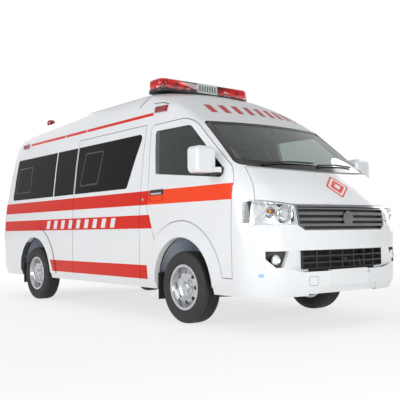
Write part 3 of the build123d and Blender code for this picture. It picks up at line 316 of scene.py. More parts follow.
def finish(name, color, other, patch, rough, grain, bump, depth,
           metal=0.0, coat=0.0, spec=0.5, clear=0.0):
    """A material whose colour, roughness and bumps come from the surface group."""
    made = bpy.data.materials.new(name)
    made.use_nodes = True
    tree = made.node_tree
    shader = tree.nodes["Principled BSDF"]
    shader.inputs["Metallic"].default_value = metal
    shader.inputs["Coat Weight"].default_value = coat
    shader.inputs["Coat Roughness"].default_value = COAT_ROUGH
    shader.inputs["Specular IOR Level"].default_value = spec
    shader.inputs["Transmission Weight"].default_value = clear
    place = tree.nodes.new("ShaderNodeGroup")
    place.name = "finish"
    place.node_tree = surface
    place.inputs["Color"].default_value = (*color[:3], 1)
    place.inputs["Other Color"].default_value = (*other[:3], 1)
    place.inputs["Patch Scale"].default_value = patch
    place.inputs["Rough Low"].default_value = rough[0]
    place.inputs["Rough High"].default_value = rough[1]
    place.inputs["Grain Scale"].default_value = grain
    bumps = tree.nodes.new("ShaderNodeBump")
    bumps.inputs["Strength"].default_value = bump
    bumps.inputs["Distance"].default_value = depth
    tree.links.new(place.outputs["Color"], shader.inputs["Base Color"])
    tree.links.new(place.outputs["Roughness"], shader.inputs["Roughness"])
    tree.links.new(place.outputs["Height"], bumps.inputs["Height"])
    tree.links.new(bumps.outputs["Normal"], shader.inputs["Normal"])
    return made


def own_outputs(made):
    """The outputs of the surface group in a material."""
    return made.node_tree.nodes["finish"].outputs


def shader_inputs(made):
    return made.node_tree.nodes["Principled BSDF"].inputs


def faces_inward(tree):
    """1 on the inner side of the shell, by its normal and its place."""
    middle_z, rise_share, length_share, inward = 1.2, 0.6, 0.4, -0.12
    x, y, z = axes_of(tree)
    place = tree.nodes.new("ShaderNodeTexCoord")
    turn = tree.nodes.new("ShaderNodeSeparateXYZ")
    tree.links.new(place.outputs["Normal"], turn.inputs[0])
    side = calc(tree, "MULTIPLY", y, turn.outputs["Y"])
    rise = calc(tree, "MULTIPLY", calc(tree, "SUBTRACT", z, middle_z), turn.outputs["Z"])
    length = calc(tree, "MULTIPLY", calc(tree, "MULTIPLY", x, turn.outputs["X"]), length_share)
    total = calc(tree, "ADD", side, calc(tree, "MULTIPLY", rise, rise_share))
    return calc(tree, "LESS_THAN", calc(tree, "ADD", total, length), inward)


def body_paint_of(name, red):
    """Glossy white paint with the side tapes in the given red."""
    made = finish(name, WHITE, WHITE_WARM, 1.2, (0.27, 0.33), 900.0, 0.03, 0.0003,
                  coat=BODY_GLOSS, spec=0.22)
    tree, own, shader = made.node_tree, own_outputs(made), shader_inputs(made)
    mask = 0.0
    for row in STRIPES:
        mask = calc(tree, "MAXIMUM", mask, tape(tree, row))
    cut = 0.0
    for step in range(BAR_COUNT):
        rear = BAR_REAR + BAR_STEP * step
        cut = calc(tree, "MAXIMUM", cut, tape(tree, (
            BAR_BOTTOM, BAR_TOP, rear, rear + BAR_LENGTH, BAR_SLANT, BAR_SLANT, BAR_SIDE)))
    for rear in TAPE_GAPS:
        cut = calc(tree, "MAXIMUM", cut, tape(tree, (
            GAP_BOTTOM, GAP_TOP, rear, rear + GAP_LENGTH, GAP_SLANT, GAP_SLANT, GAP_SIDE)))
    mask = calc(tree, "MULTIPLY", mask, calc(tree, "SUBTRACT", 1.0, cut))
    # Inner faces take the lining colour, darkened as painted shade.
    lined_and_shaded = faces_inward(tree)
    outside = mix_color(tree, mask, own["Color"], red)
    tree.links.new(mix_color(tree, lined_and_shaded, outside, LINING_SHADED), shader["Base Color"])
    dull = calc(tree, "MAXIMUM", own["Roughness"], calc(tree, "MULTIPLY", lined_and_shaded, LINING_ROUGH))
    tree.links.new(dull, shader["Roughness"])
    bare = calc(tree, "SUBTRACT", 1.0, calc(tree, "MAXIMUM", mask, lined_and_shaded))
    tree.links.new(calc(tree, "MULTIPLY", bare, BODY_GLOSS), shader["Coat Weight"])
    return made


def dress(name, made):
    """Give a CAD node its finish."""
    obj = nodes[name]
    obj.data.materials.clear()
    obj.data.materials.append(made)
    return obj


WELD_REACH, SHARP_ANGLE = 0.00005, 28.0


def smooth_panel(name, angle):
    """Join the node's loose triangles for shading, with its sharp edges kept."""
    obj = nodes[name]
    obj.data.polygons.foreach_set("use_smooth", [True] * len(obj.data.polygons))
    weld = obj.modifiers.new("weld", "WELD")
    weld.merge_threshold = WELD_REACH
    split = obj.modifiers.new("edges", "EDGE_SPLIT")
    split.split_angle = math.radians(angle)


def dress_all(names, made, angle=SHARP_ANGLE):
    """Give several CAD nodes one finish, with smooth shading."""
    for name in names:
        dress(name, made)
        smooth_panel(name, angle)


body_paint = body_paint_of("body_paint", STRIPE_RED)
door_paint = body_paint_of("door_paint", STRIPE_ORANGE)
dress_all(("body_side_left", "body_side_right", "roof_cap", "nose_panel", "bonnet", "front_bumper",
           "rear_bumper", "sliding_door", "tailgate"), body_paint)
dress_all(("door_left", "door_right"), door_paint)

# Glass: a clear laminated windscreen and front door windows with a green tinge,
# and dark privacy glass along both sides and in the tailgate.
GLASS_IOR = 1.45
clear_glass = finish("clear_glass", (0.50, 0.56, 0.55), (0.47, 0.53, 0.52), 2.0, (0.0, 0.015), 3.0,
                     0.02, 0.0002, spec=0.3, clear=1.0)
shader_inputs(clear_glass)["IOR"].default_value = GLASS_IOR
dress_all(("windscreen", "door_glass_left", "door_glass_right"), clear_glass)
dark_glass = finish("privacy_glass", (0.004, 0.0045, 0.005), (0.006, 0.0065, 0.007), 2.0,
                    (0.04, 0.07), 3.0, 0.02, 0.0002, spec=0.12)
dress_all(("side_glass", "sliding_door_glass", "tailgate_glass"), dark_glass)

# Chrome and black mouldings of the nose, and the clear and red lamps. The grille's
# chrome has a darkened base colour as painted reflection of dark surroundings, and the bowls behind the
# headlamp lenses are wavy mirrors.
chrome = finish("chrome", (0.74, 0.75, 0.76), (0.68, 0.69, 0.70), 12.0, (0.06, 0.12), 500.0,
                0.03, 0.0002, metal=1.0)
black_plastic = finish("black_plastic", (0.013, 0.013, 0.014), (0.020, 0.020, 0.021), 6.0,
                       (0.45, 0.6), 1400.0, 0.25, 0.0005)
# Grille chrome with a dark base colour: painted reflection of the darker surroundings the bars would
# mirror.
chrome_darkened_as_reflection = finish("chrome_darkened_as_reflection", (0.26, 0.26, 0.27), (0.34, 0.34, 0.35), 10.0, (0.08, 0.16),
                     300.0, 0.1, 0.0005, metal=1.0)
lamp_mirror = finish("lamp_mirror", (0.86, 0.87, 0.88), (0.66, 0.67, 0.68), 30.0, (0.05, 0.12),
                     60.0, 0.8, 0.004, metal=1.0)
lamp_clear = finish("lamp_clear", (0.96, 0.98, 0.99), (0.93, 0.95, 0.96), 5.0, (0.0, 0.02), 300.0,
                    0.03, 0.0003, clear=1.0)
red_lens = finish("red_lens", (0.30, 0.006, 0.010), (0.22, 0.004, 0.007), 8.0, (0.1, 0.16), 220.0,
                  0.15, 0.001, coat=0.5)
dress_all(("grille",), chrome_darkened_as_reflection)
dress_all(("headlamp_bowls",), lamp_mirror)
dress_all(("grille_mesh", "intake_grille", "fog_lamps"), black_plastic)
dress_all(("headlamp_lenses",), lamp_clear)
dress_all(("tail_lamps", "marker_lamps"), red_lens)

# Cab: moulded dashboard, steering wheel, floor mats and a lined partition.
cab_trim = finish("cab_trim", (0.030, 0.032, 0.035), (0.042, 0.044, 0.048), 7.0, (0.5, 0.65),
                  1100.0, 0.3, 0.0006)
floor_vinyl = finish("floor_vinyl", (0.055, 0.060, 0.066), (0.075, 0.080, 0.086), 9.0,
                     (0.45, 0.6), 700.0, 0.3, 0.0006)
wall_lining = finish("wall_lining", (0.16, 0.175, 0.19), (0.19, 0.20, 0.215), 4.0, (0.5, 0.6),
                     600.0, 0.15, 0.0005)
dress_all(("dashboard", "steering_wheel", "steering_column"), cab_trim)
dress_all(("floor",), floor_vinyl)
dress_all(("partition",), wall_lining)

# Running gear: black painted steel, cast metal, galvanised sheet and rubber, bolted
# and hung below the floor.
chassis_black = finish("chassis_black", (0.018, 0.018, 0.019), (0.035, 0.033, 0.031), 5.0,
                       (0.4, 0.65), 500.0, 0.25, 0.0008)
cast_metal = finish("cast_metal", (0.11, 0.11, 0.11), (0.17, 0.165, 0.16), 8.0, (0.45, 0.65),
                    350.0, 0.4, 0.001, metal=0.8)
zinc_sheet = finish("zinc_sheet", (0.40, 0.45, 0.53), (0.50, 0.54, 0.60), 22.0, (0.35, 0.55),
                    260.0, 0.15, 0.0005, metal=0.7)
tyre_rubber = finish("tyre_rubber", (0.016, 0.016, 0.017), (0.026, 0.025, 0.024), 6.0, (0.6, 0.8),
                     900.0, 0.25, 0.0006)
rim_silver = finish("rim_silver", (0.60, 0.61, 0.63), (0.52, 0.53, 0.55), 9.0, (0.2, 0.32), 900.0,
                    0.05, 0.0003, metal=0.85)
dress_all(("chassis_frame", "front_suspension", "rear_axle", "leaf_springs", "propshaft",
           "fuel_tank", "tow_eye"), chassis_black)
dress_all(("engine", "knuckle_left", "knuckle_right"), cast_metal)
dress_all(("wheel_houses", "exhaust"), zinc_sheet)
dress_all(("mud_flaps", "spare_wheel"), tyre_rubber)

# Windscreen surround: a black ceramic band printed round the glass, which hides the
# bead of glue, with a rubber seal. It is wide at the foot and narrow at the roof.
SCREEN_FOOT, SCREEN_RISE, SCREEN_HALF = 1.348, 0.044, 0.838
SCREEN_TOP, SCREEN_TOP_HALF = 1.844, 0.765
FRIT_FOOT, FRIT_FOOT_HALF, FRIT_SIDE, FRIT_TOP, FRIT_STEPS = 0.062, 0.79, 0.046, 0.030, 20
PRINT_LIFT = (0.0006, 0, 0.0008)


def apply_all(obj):
    """Apply every modifier of one object, in order."""
    bpy.ops.object.select_all(action="DESELECT")
    obj.select_set(True)
    bpy.context.view_layer.objects.active = obj
    for modifier in list(obj.modifiers):
        bpy.ops.object.modifier_apply(modifier=modifier.name)


def settle(obj, name, made, body="root", angle=30.0):
    """Finish a new piece: its place goes into its mesh, and it hangs on a body."""
    apply_all(obj)
    obj.name = name
    obj.data.name = name
    bpy.ops.object.transform_apply(location=True, rotation=True, scale=True)
    bpy.ops.object.shade_smooth_by_angle(angle=math.radians(angle))
    obj.data.materials.clear()
    obj.data.materials.append(made)
    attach(obj, body)
    return obj


def merged_copy(name, shift=(0, 0, 0)):
    """A copy of a CAD node's mesh with its loose triangles joined, moved a little."""
    bpy.ops.object.select_all(action="DESELECT")
    obj = bpy.data.objects.new(name + "_copy", nodes[name].data.copy())
    bpy.context.collection.objects.link(obj)
    obj.select_set(True)
    bpy.context.view_layer.objects.active = obj
    bpy.ops.object.mode_set(mode="EDIT")
    bpy.ops.mesh.select_all(action="SELECT")
    bpy.ops.mesh.remove_doubles(threshold=WELD_REACH)
    bpy.ops.transform.translate(value=shift)
    bpy.ops.object.mode_set(mode="OBJECT")
    return obj


def rounded(points, radius, steps=6):
    """A polygon whose corners are turned into arcs of straight bits."""
    made = []
    count = len(points)
    for index in range(count):
        before, at, after = (Vector(points[(index + shift) % count]) for shift in (-1, 0, 1))
        into, out_of = (before - at).normalized(), (after - at).normalized()
        reach = radius / math.tan(into.angle(out_of) / 2)
        reach = min(reach, (before - at).length / 2, (after - at).length / 2)
        start, end = at + into * reach, at + out_of * reach
        for step in range(steps + 1):
            share = step / steps
            made.append(tuple(start.lerp(at, share).lerp(at.lerp(end, share), share)))
    return made


def box_outline(left, bottom, right, top):
    """The four corners of an upright rectangle."""
    return [(left, bottom), (right, bottom), (right, top), (left, top)]


def prism(points, axis, low, high):
    """A straight block with the given outline, along X or Y."""
    bpy.ops.object.select_all(action="DESELECT")
    bpy.ops.mesh.primitive_circle_add(vertices=len(points), radius=1.0, fill_type="NGON")
    obj = bpy.context.object
    for vertex, (first, second) in zip(obj.data.vertices, points):
        vertex.co = (low, first, second) if axis == "X" else (first, low, second)
    way = (high - low, 0, 0) if axis == "X" else (0, high - low, 0)
    bpy.ops.object.mode_set(mode="EDIT")
    bpy.ops.mesh.select_all(action="SELECT")
    bpy.ops.mesh.extrude_region_move(TRANSFORM_OT_translate={"value": way})
    bpy.ops.mesh.select_all(action="SELECT")
    bpy.ops.mesh.normals_make_consistent(inside=False)
    bpy.ops.object.mode_set(mode="OBJECT")
    return obj


def combine(obj, other, operation):
    """Cut one object with another, or keep what they share. The other is then gone."""
    joined = obj.modifiers.new("combine", "BOOLEAN")
    joined.object = other
    joined.operation = operation
    joined.solver = "EXACT"
    apply_all(obj)
    bpy.data.objects.remove(other)
    return obj


def laid_on(name, node, shift, keep, made, body="root", hole=None):
    """A thin layer on a CAD panel's outer side, within an outline."""
    obj = combine(merged_copy(node, shift), keep, "INTERSECT")
    if hole:
        combine(obj, hole, "DIFFERENCE")
    return settle(obj, name, made, body)


view_foot = []
for step in range(-FRIT_STEPS, FRIT_STEPS + 1):
    y = step / FRIT_STEPS * FRIT_FOOT_HALF
    view_foot.append((y, SCREEN_FOOT + SCREEN_RISE * (y / SCREEN_HALF) ** 2 + FRIT_FOOT))
view_half, view_top = SCREEN_TOP_HALF - FRIT_SIDE, SCREEN_TOP - FRIT_TOP
view_corner = [(view_half, view_top - 0.04), (view_half - 0.015, view_top - 0.012),
               (view_half - 0.045, view_top)]
clear_view = view_foot + view_corner + [(-y, z) for y, z in reversed(view_corner)]
black_print = finish("black_print", (0.006, 0.006, 0.006), (0.009, 0.009, 0.010), 4.0, (0.08, 0.14),
                     600.0, 0.05, 0.0003, spec=0.4)
frit = combine(merged_copy("windscreen", PRINT_LIFT), prism(clear_view, "X", 1.4, 2.9), "DIFFERENCE")
settle(frit, "windscreen_frit", black_print)
dress_all(("wipers",), black_plastic)

# Bonnet badge: a bare rounded lozenge in orange-red, outline and smaller middle,
# pressed from thin sheet and stuck on.
BADGE_MIDDLE, BADGE_HALF_Y, BADGE_HALF_Z, BADGE_ROUND = (0.012, 1.207), 0.150, 0.100, 0.02
BONNET_LIFT = (0.0012, 0, 0.0008)
badge_red = finish("badge_red", (0.78, 0.045, 0.012), (0.70, 0.035, 0.010), 20.0, (0.25, 0.35),
                   900.0, 0.05, 0.0002, coat=0.3)


def lozenge(scale):
    """A rounded lozenge about the badge's middle, in Y and Z."""
    y, z = BADGE_MIDDLE
    half_y, half_z = BADGE_HALF_Y * scale, BADGE_HALF_Z * scale
    corners = [(y + half_y, z), (y, z + half_z), (y - half_y, z), (y, z - half_z)]
    return prism(rounded(corners, BADGE_ROUND * scale, 5), "X", 2.2, 2.75)


for label, outer, inner in (("badge_rim", 1.0, 0.84), ("badge_middle", 0.62, 0.30)):
    laid_on(label, "bonnet", BONNET_LIFT, lozenge(outer), badge_red, "bonnet", lozenge(inner))

# Front bumper trifles: two bits of light blue film left on the paint, and the shut
# line of the moulded cover over the towing thread.
FILM_LIFT, LINE_LIFT = (0.0012, 0, 0), (0.0006, 0, 0)
COVER, COVER_LINE, COVER_ROUND = (-0.464, 0.375, -0.374, 0.450), 0.003, 0.012
film_blue = finish("film_blue", (0.30, 0.52, 0.72), (0.36, 0.58, 0.76), 30.0, (0.35, 0.5), 600.0,
                   0.2, 0.0005)
shut_line = finish("shut_line", (0.05, 0.05, 0.055), (0.07, 0.07, 0.075), 30.0, (0.5, 0.6), 600.0,
                   0.1, 0.0003)
for label, y, z in (("right", -0.861, 0.470), ("left", 0.273, 0.464)):
    corners = [(y - 0.014, z - 0.013), (y + 0.014, z - 0.016), (y + 0.016, z + 0.012),
               (y - 0.012, z + 0.015)]
    laid_on("film_bit_" + label, "front_bumper", FILM_LIFT, prism(corners, "X", 2.3, 2.8), film_blue)
left, bottom, right, top = COVER
cover = rounded(box_outline(*COVER), COVER_ROUND)
within = rounded(box_outline(left + COVER_LINE, bottom + COVER_LINE, right - COVER_LINE,
                             top - COVER_LINE), 0.010)
laid_on("tow_cover_line", "front_bumper", LINE_LIFT, prism(cover, "X", 2.5, 2.8), shut_line,
        hole=prism(within, "X", 2.45, 2.85))

# Headlamps: behind each clear moulded lens sit a round chromed reflector with its
# capped bulb and a smaller one with an amber bulb beside it.
REFLECTOR = [(-0.050, 0.0), (-0.048, 0.018), (-0.038, 0.040), (-0.020, 0.058), (0.0, 0.067),
             (0.002, 0.071), (-0.003, 0.073), (-0.022, 0.063), (-0.041, 0.044), (-0.052, 0.018),
             (-0.054, 0.0)]
BULB = [(-0.046, 0.0), (-0.046, 0.012), (-0.020, 0.012), (-0.017, 0.020), (-0.008, 0.021),
        (-0.002, 0.014), (0.0, 0.0)]
SMALL_REFLECTOR = [(along * 0.7, radius * 0.62) for along, radius in REFLECTOR]
SMALL_BULB = [(along * 0.6, radius * 0.6) for along, radius in BULB]
MAIN_LAMP, MAIN_TURN = (2.585, 0.668, 0.962), 8
SIDE_LAMP, SIDE_TURN = (2.540, 0.788, 0.985), 20
SIDES = (("right", -1), ("left", 1))
bulb_glass = finish("bulb_glass", (0.85, 0.87, 0.88), (0.80, 0.82, 0.84), 20.0, (0.1, 0.2), 600.0,
                    0.05, 0.0003)
amber = finish("amber", (0.75, 0.27, 0.03), (0.68, 0.23, 0.02), 20.0, (0.15, 0.25), 600.0, 0.05,
               0.0003)


def turned(profile, steps=48):
    """A round form about +X from a profile of place along X and radius."""
    bpy.ops.object.select_all(action="DESELECT")
    bpy.ops.mesh.primitive_plane_add(size=0.001, location=(0, 0, 0))
    obj = bpy.context.object
    bpy.ops.object.mode_set(mode="EDIT")
    bpy.ops.mesh.select_all(action="SELECT")
    bpy.ops.mesh.merge(type="CENTER")
    at = (0.0, 0.0)
    for index, (along, radius) in enumerate(profile):
        step = (along - at[0], radius - at[1], 0)
        if index:
            bpy.ops.mesh.extrude_region_move(TRANSFORM_OT_translate={"value": step})
        else:
            bpy.ops.transform.translate(value=step)
        at = (along, radius)
    bpy.ops.mesh.select_all(action="SELECT")
    bpy.ops.mesh.spin(
        steps=steps, angle=math.tau, use_auto_merge=True, center=(0, 0, 0), axis=(1, 0, 0))
    bpy.ops.mesh.select_all(action="SELECT")
    bpy.ops.mesh.remove_doubles(threshold=0.00001)
    bpy.ops.mesh.normals_make_consistent(inside=False)
    bpy.ops.object.mode_set(mode="OBJECT")
    return obj


def moved(obj, place, yaw=0.0, pitch=0.0):
    """Turn a piece about Y and then Z, and put it in its place."""
    obj.rotation_euler = (0, math.radians(pitch), math.radians(yaw))
    obj.location = place
    return obj


for label, way in SIDES:
    for place, turn, pieces in (
            (MAIN_LAMP, MAIN_TURN, (("headlamp_reflector_", REFLECTOR, 48, chrome),
                                    ("headlamp_bulb_", BULB, 24, bulb_glass))),
            (SIDE_LAMP, SIDE_TURN, (("side_reflector_", SMALL_REFLECTOR, 48, chrome),
                                    ("side_bulb_", SMALL_BULB, 20, amber)))):
        spot = (place[0], way * place[1], place[2])
        for name, profile, steps, made in pieces:
            settle(moved(turned(profile, steps), spot, way * turn), name + label, made)

# Fog lamps: a round lamp in a chromed ring, deep in each black moulding.
FOG_RING = [(-0.020, 0.0), (-0.018, 0.020), (-0.004, 0.031), (0.004, 0.034), (0.006, 0.039),
            (0.002, 0.043), (-0.012, 0.043), (-0.022, 0.030), (-0.024, 0.0)]
FOG_GLASS = [(0.0, 0.0), (0.001, 0.016), (-0.003, 0.031), (-0.006, 0.031), (-0.002, 0.016),
             (-0.003, 0.0)]
FOG_RING_X, FOG_GLASS_X, FOG_Y, FOG_Z, FOG_TURN = 2.562, 2.566, 0.761, 0.593, 6
for label, way in SIDES:
    for name, profile, x, made in (("fog_ring_", FOG_RING, FOG_RING_X, chrome),
                                   ("fog_glass_", FOG_GLASS, FOG_GLASS_X, bulb_glass)):
        settle(moved(turned(profile), (x, way * FOG_Y, FOG_Z), way * FOG_TURN), name + label, made)

# Light bar: hollow moulded lenses, red above and clear below, over chromed
# reflectors, with a white middle that has louvres for its loudspeaker.
BAR_X, TUB_TOP, RED_FROM, LENS_WALL = 0.650, 2.329, 2.362, 0.003
LENS_CLEAR, TUB_BLACK = (0.82, 0.82, 0.82, 1), (0.02, 0.02, 0.021, 1)
BAR_CONE = [(0.0, 0.0), (0.0, 0.020), (0.030, 0.026), (0.055, 0.040), (0.060, 0.043),
            (0.058, 0.036), (0.035, 0.020), (0.006, 0.012), (0.004, 0.0)]
CONE_PLACES, CONE_Z = (0.22, 0.36, 0.50), 2.380
LOUVRE_COUNT, LOUVRE_FROM, LOUVRE_STEP, LOUVRE_HALF = 7, -0.105, 0.035, 0.009
LOUVRE_LOW, LOUVRE_HIGH, LOUVRE_LIFT = 2.348, 2.412, (0.0015, 0, 0)


def recolour(made, mask, under, over):
    """A second colour on a material where a mask is 0 (under) or 1 (over)."""
    tree = made.node_tree
    tree.links.new(mix_color(tree, mask, under, over), shader_inputs(made)["Base Color"])


def other_below(made, height, lower):
    """The finish's own colour above a height, and another colour below it."""
    mask = calc(made.node_tree, "GREATER_THAN", axes_of(made.node_tree)[2], height)
    recolour(made, mask, lower, own_outputs(made)["Color"])


bar_lens = finish("bar_lens", (0.80, 0.06, 0.06), (0.70, 0.04, 0.04), 6.0, (0.03, 0.08), 120.0,
                  0.25, 0.001, clear=1.0)
other_below(bar_lens, RED_FROM, LENS_CLEAR)
shell = merged_copy("light_bar_lenses")
wall = shell.modifiers.new("wall", "SOLIDIFY")
wall.thickness = LENS_WALL
wall.offset = -1
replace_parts(settle(shell, "bar_lens_shells", bar_lens), "light_bar_lenses")
for side, way in SIDES:
    for number, y in enumerate(CONE_PLACES):
        for end, yaw in (("front", 0), ("rear", 180)):
            cone = moved(turned(BAR_CONE, 28), (BAR_X, way * y, CONE_Z), yaw)
            settle(cone, "bar_reflector_%s_%d_%s" % (side, number, end), chrome)
bar_white = finish("bar_white", (0.66, 0.67, 0.68), (0.60, 0.61, 0.62), 10.0, (0.35, 0.45), 900.0,
                   0.1, 0.0004)
other_below(bar_white, TUB_TOP, TUB_BLACK)
dress_all(("light_bar",), bar_white)
louvre_grey = finish("louvre_grey", (0.13, 0.135, 0.14), (0.17, 0.175, 0.18), 20.0, (0.4, 0.5),
                     700.0, 0.1, 0.0004)
for number in range(LOUVRE_COUNT):
    y = LOUVRE_FROM + LOUVRE_STEP * number
    keep = prism(box_outline(y - LOUVRE_HALF, LOUVRE_LOW, y + LOUVRE_HALF, LOUVRE_HIGH), "X", 0.4, 0.9)
    laid_on("bar_louvre_%d" % number, "light_bar", LOUVRE_LIFT, keep, louvre_grey)

# Rear beacons: two red moulded domes on black bases, screwed to the roof.
DOME_FROM, BASE_BLACK = 2.300, (0.03, 0.03, 0.032, 1)
beacon_red = finish("beacon_red", (0.34, 0.006, 0.010), (0.26, 0.004, 0.007), 8.0, (0.08, 0.14),
                    90.0, 0.3, 0.002, coat=0.4)
other_below(beacon_red, DOME_FROM, BASE_BLACK)
dress_all(("beacons",), beacon_red)

# Door mirrors: a white moulded shell over a black foot and arm, with the mirror
# glass set in a black rim on the rear side.
MIRROR_FOOT_TOP, MIRROR_ARM_HALF, MIRROR_BLACK = 1.327, 0.932, (0.02, 0.02, 0.021, 1)
MIRROR_IN, MIRROR_OUT, MIRROR_LOW, MIRROR_HIGH, MIRROR_RIM = 0.955, 1.125, 1.350, 1.530, 0.008
RIM_DEPTH, GLASS_DEPTH = (1.917, 1.921), (1.9155, 1.918)
mirror_paint = finish("mirror_paint", WHITE, WHITE_WARM, 4.0, (0.28, 0.34), 900.0, 0.03, 0.0003,
                      coat=0.4)
tree = mirror_paint.node_tree
x, y, z = axes_of(tree)
arm = calc(tree, "MAXIMUM", calc(tree, "LESS_THAN", z, MIRROR_FOOT_TOP),
           calc(tree, "LESS_THAN", calc(tree, "ABSOLUTE", y), MIRROR_ARM_HALF))
recolour(mirror_paint, arm, own_outputs(mirror_paint)["Color"], MIRROR_BLACK)
dress_all(("mirror_left", "mirror_right"), mirror_paint)
mirror_glass = finish("mirror_glass", (0.82, 0.83, 0.84), (0.80, 0.81, 0.82), 3.0, (0.01, 0.03),
                      3.0, 0.01, 0.0001, metal=1.0)
for label, way in SIDES:
    for name, gap, radius, depth, made in (
            ("mirror_rim_", 0.0, 0.035, RIM_DEPTH, black_plastic),
            ("mirror_glass_", MIRROR_RIM, 0.030, GLASS_DEPTH, mirror_glass)):
        outline = box_outline(way * (MIRROR_IN + gap), MIRROR_LOW + gap,
                              way * (MIRROR_OUT - gap), MIRROR_HIGH - gap)
        settle(prism(rounded(outline, radius), "X", *depth), name + label, made, "door_" + label)

# Door handles and lock: a chromed grip in a black recess above the white flap of
# each front door, and the round lock of the sliding door.
RECESS, RECESS_ROUND, RECESS_DEPTH = (1.018, 1.184, 1.241, 1.234), 0.008, (0.905, 0.9205)
GRIP, GRIP_ROUND, GRIP_DEPTH, GRIP_EDGE = (1.034, 1.190, 1.205, 1.207), 0.006, (0.919, 0.928), 0.002
LOCK = [(0.0, 0.0), (0.0, 0.013), (0.004, 0.013), (0.006, 0.011), (0.006, 0.008), (0.004, 0.007),
        (0.004, 0.0)]
LOCK_AT = (0.900, -0.927, 1.150)
for label, way in SIDES:
    low, high = sorted(way * depth for depth in RECESS_DEPTH)
    recess = prism(rounded(box_outline(*RECESS), RECESS_ROUND), "Y", low, high)
    settle(recess, "handle_recess_" + label, black_plastic, "door_" + label)
    low, high = sorted(way * depth for depth in GRIP_DEPTH)
    grip = prism(rounded(box_outline(*GRIP), GRIP_ROUND), "Y", low, high)
    edge = grip.modifiers.new("edge", "BEVEL")
    edge.width = GRIP_EDGE
    edge.segments = 2
    settle(grip, "handle_grip_" + label, chrome, "door_" + label)
settle(moved(turned(LOCK, 24), LOCK_AT, -90), "side_lock", chrome)

# Side window frames: the thin black frame of the sliding pane in the sliding door
# and its twin on the other side, and the inner frame of the rear pane.
SLIDING_FRAME = [(-0.442, 1.354), (-0.027, 1.360), (0.044, 1.732), (-0.356, 1.738)]
REAR_FRAME = [(-2.249, 1.363), (-1.777, 1.363), (-1.777, 1.699), (-2.190, 1.699)]
FRAME_LIFT, FRAME_ROUND, FRAME_ROUND_IN, CORNER_REACH = 0.0025, 0.03, 0.024, 1.4
frame_black = finish("frame_black", (0.030, 0.030, 0.032), (0.045, 0.045, 0.048), 10.0, (0.3, 0.4),
                     700.0, 0.1, 0.0003)


def ring_on_glass(name, node, way, corners, width):
    """A thin frame round an outline, proud of the side glass."""
    middle = Vector((sum(x for x, _ in corners) / 4, sum(z for _, z in corners) / 4))
    inner = []
    for corner in corners:
        inward = (middle - Vector(corner)).normalized()
        inner.append(tuple(Vector(corner) + inward * width * CORNER_REACH))
    low, high = sorted((way * 0.7, way * 1.1))
    keep = prism(rounded(corners, FRAME_ROUND), "Y", low, high)
    hole = prism(rounded(inner, FRAME_ROUND_IN), "Y", low - 0.05, high + 0.05)
    laid_on(name, node, (0, way * FRAME_LIFT, 0), keep, frame_black, hole=hole)


for name, node, way, corners, width in (
        ("slider_window_frame", "sliding_door_glass", -1, SLIDING_FRAME, 0.018),
        ("rear_window_frame_right", "side_glass", -1, REAR_FRAME, 0.014),
        ("side_window_frame_left", "side_glass", 1, SLIDING_FRAME, 0.018),
        ("rear_window_frame_left", "side_glass", 1, REAR_FRAME, 0.014)):
    ring_on_glass(name, node, way, corners, width)

# Wheels: tyres moulded in black rubber with four grooves and notched shoulders, and
# pressed steel rims, sprayed silver, held by five nuts round a pressed cap.
TYRE_RADIUS, TYRE_HALF, BEAD_HALF, BEAD_RADIUS = 0.327, 0.0975, 0.0730, 0.1923
TREAD_HALF, TREAD_STEPS, GROOVES = 0.066, 120, (-0.042, -0.014, 0.014, 0.042)
GROOVE_DEEP, GROOVE_HALF, GROOVE_TAPER, SHOULDER_DROP = 0.008, 0.0045, 0.001, 0.003
NOTCH_EVERY, NOTCH_FROM, NOTCH_TO, NOTCH_RADIUS, NOTCH_DEEP = 4, 0.047, 0.082, 0.312, 0.006
AXLES = {"front": 1.53, "rear": -1.58}
WHEEL_OUT, NUT_FACE, CAP_FACE = 0.8275, 0.0455, 0.0575
NUT = [(0.0, 0.0), (0.0, 0.011), (0.012, 0.011), (0.016, 0.007), (0.016, 0.0)]
CAP = [(0.0, 0.0), (0.0, 0.040), (0.006, 0.038), (0.010, 0.030), (0.011, 0.012), (0.010, 0.0)]
NUT_CIRCLE, NUT_COUNT = 0.0585, 5
tread = [(-TREAD_HALF, TYRE_RADIUS - SHOULDER_DROP)]
for groove in GROOVES:
    tread += [(groove - GROOVE_HALF, TYRE_RADIUS),
              (groove - GROOVE_HALF + GROOVE_TAPER, TYRE_RADIUS - GROOVE_DEEP),
              (groove + GROOVE_HALF - GROOVE_TAPER, TYRE_RADIUS - GROOVE_DEEP),
              (groove + GROOVE_HALF, TYRE_RADIUS)]
tread.append((TREAD_HALF, TYRE_RADIUS - SHOULDER_DROP))
wall_right = [(-BEAD_HALF, BEAD_RADIUS), (-0.078, 0.2078), (-0.088, 0.222), (-0.0905, 0.226),
              (-0.089, 0.229), (-0.095, 0.246), (-TYRE_HALF, 0.262), (-0.096, 0.276),
              (-0.0975, 0.279), (-0.095, 0.284), (-0.091, 0.300), (-0.084, 0.315),
              (-0.076, 0.3215)]
wall_left = [(-along, radius) for along, radius in reversed(wall_right)]
liner = [(BEAD_HALF - 0.006, BEAD_RADIUS), (0.080, 0.250), (0.060, 0.300), (-0.060, 0.300),
         (-0.080, 0.250), (0.006 - BEAD_HALF, BEAD_RADIUS)]


def shoulder_notch(polygon):
    """Every fourth face of the shoulders and of the rows beside them."""
    at = polygon.center
    turn = math.atan2(at.z, at.y) / math.tau * TREAD_STEPS
    step = int(round(turn - 0.5)) % NOTCH_EVERY
    beyond = NOTCH_FROM < abs(at.x) < NOTCH_TO and math.hypot(at.y, at.z) > NOTCH_RADIUS
    return beyond and step == (0 if at.x > 0 else NOTCH_EVERY // 2)


def placed_copy(model, place, turn):
    """A copy of a modelled piece with its own mesh, turned about Z and placed."""
    bpy.ops.object.select_all(action="DESELECT")
    obj = bpy.data.objects.new(model.name, model.data.copy())
    bpy.context.collection.objects.link(obj)
    obj.rotation_euler = (0, 0, math.radians(turn))
    obj.location = place
    obj.select_set(True)
    bpy.context.view_layer.objects.active = obj
    return obj


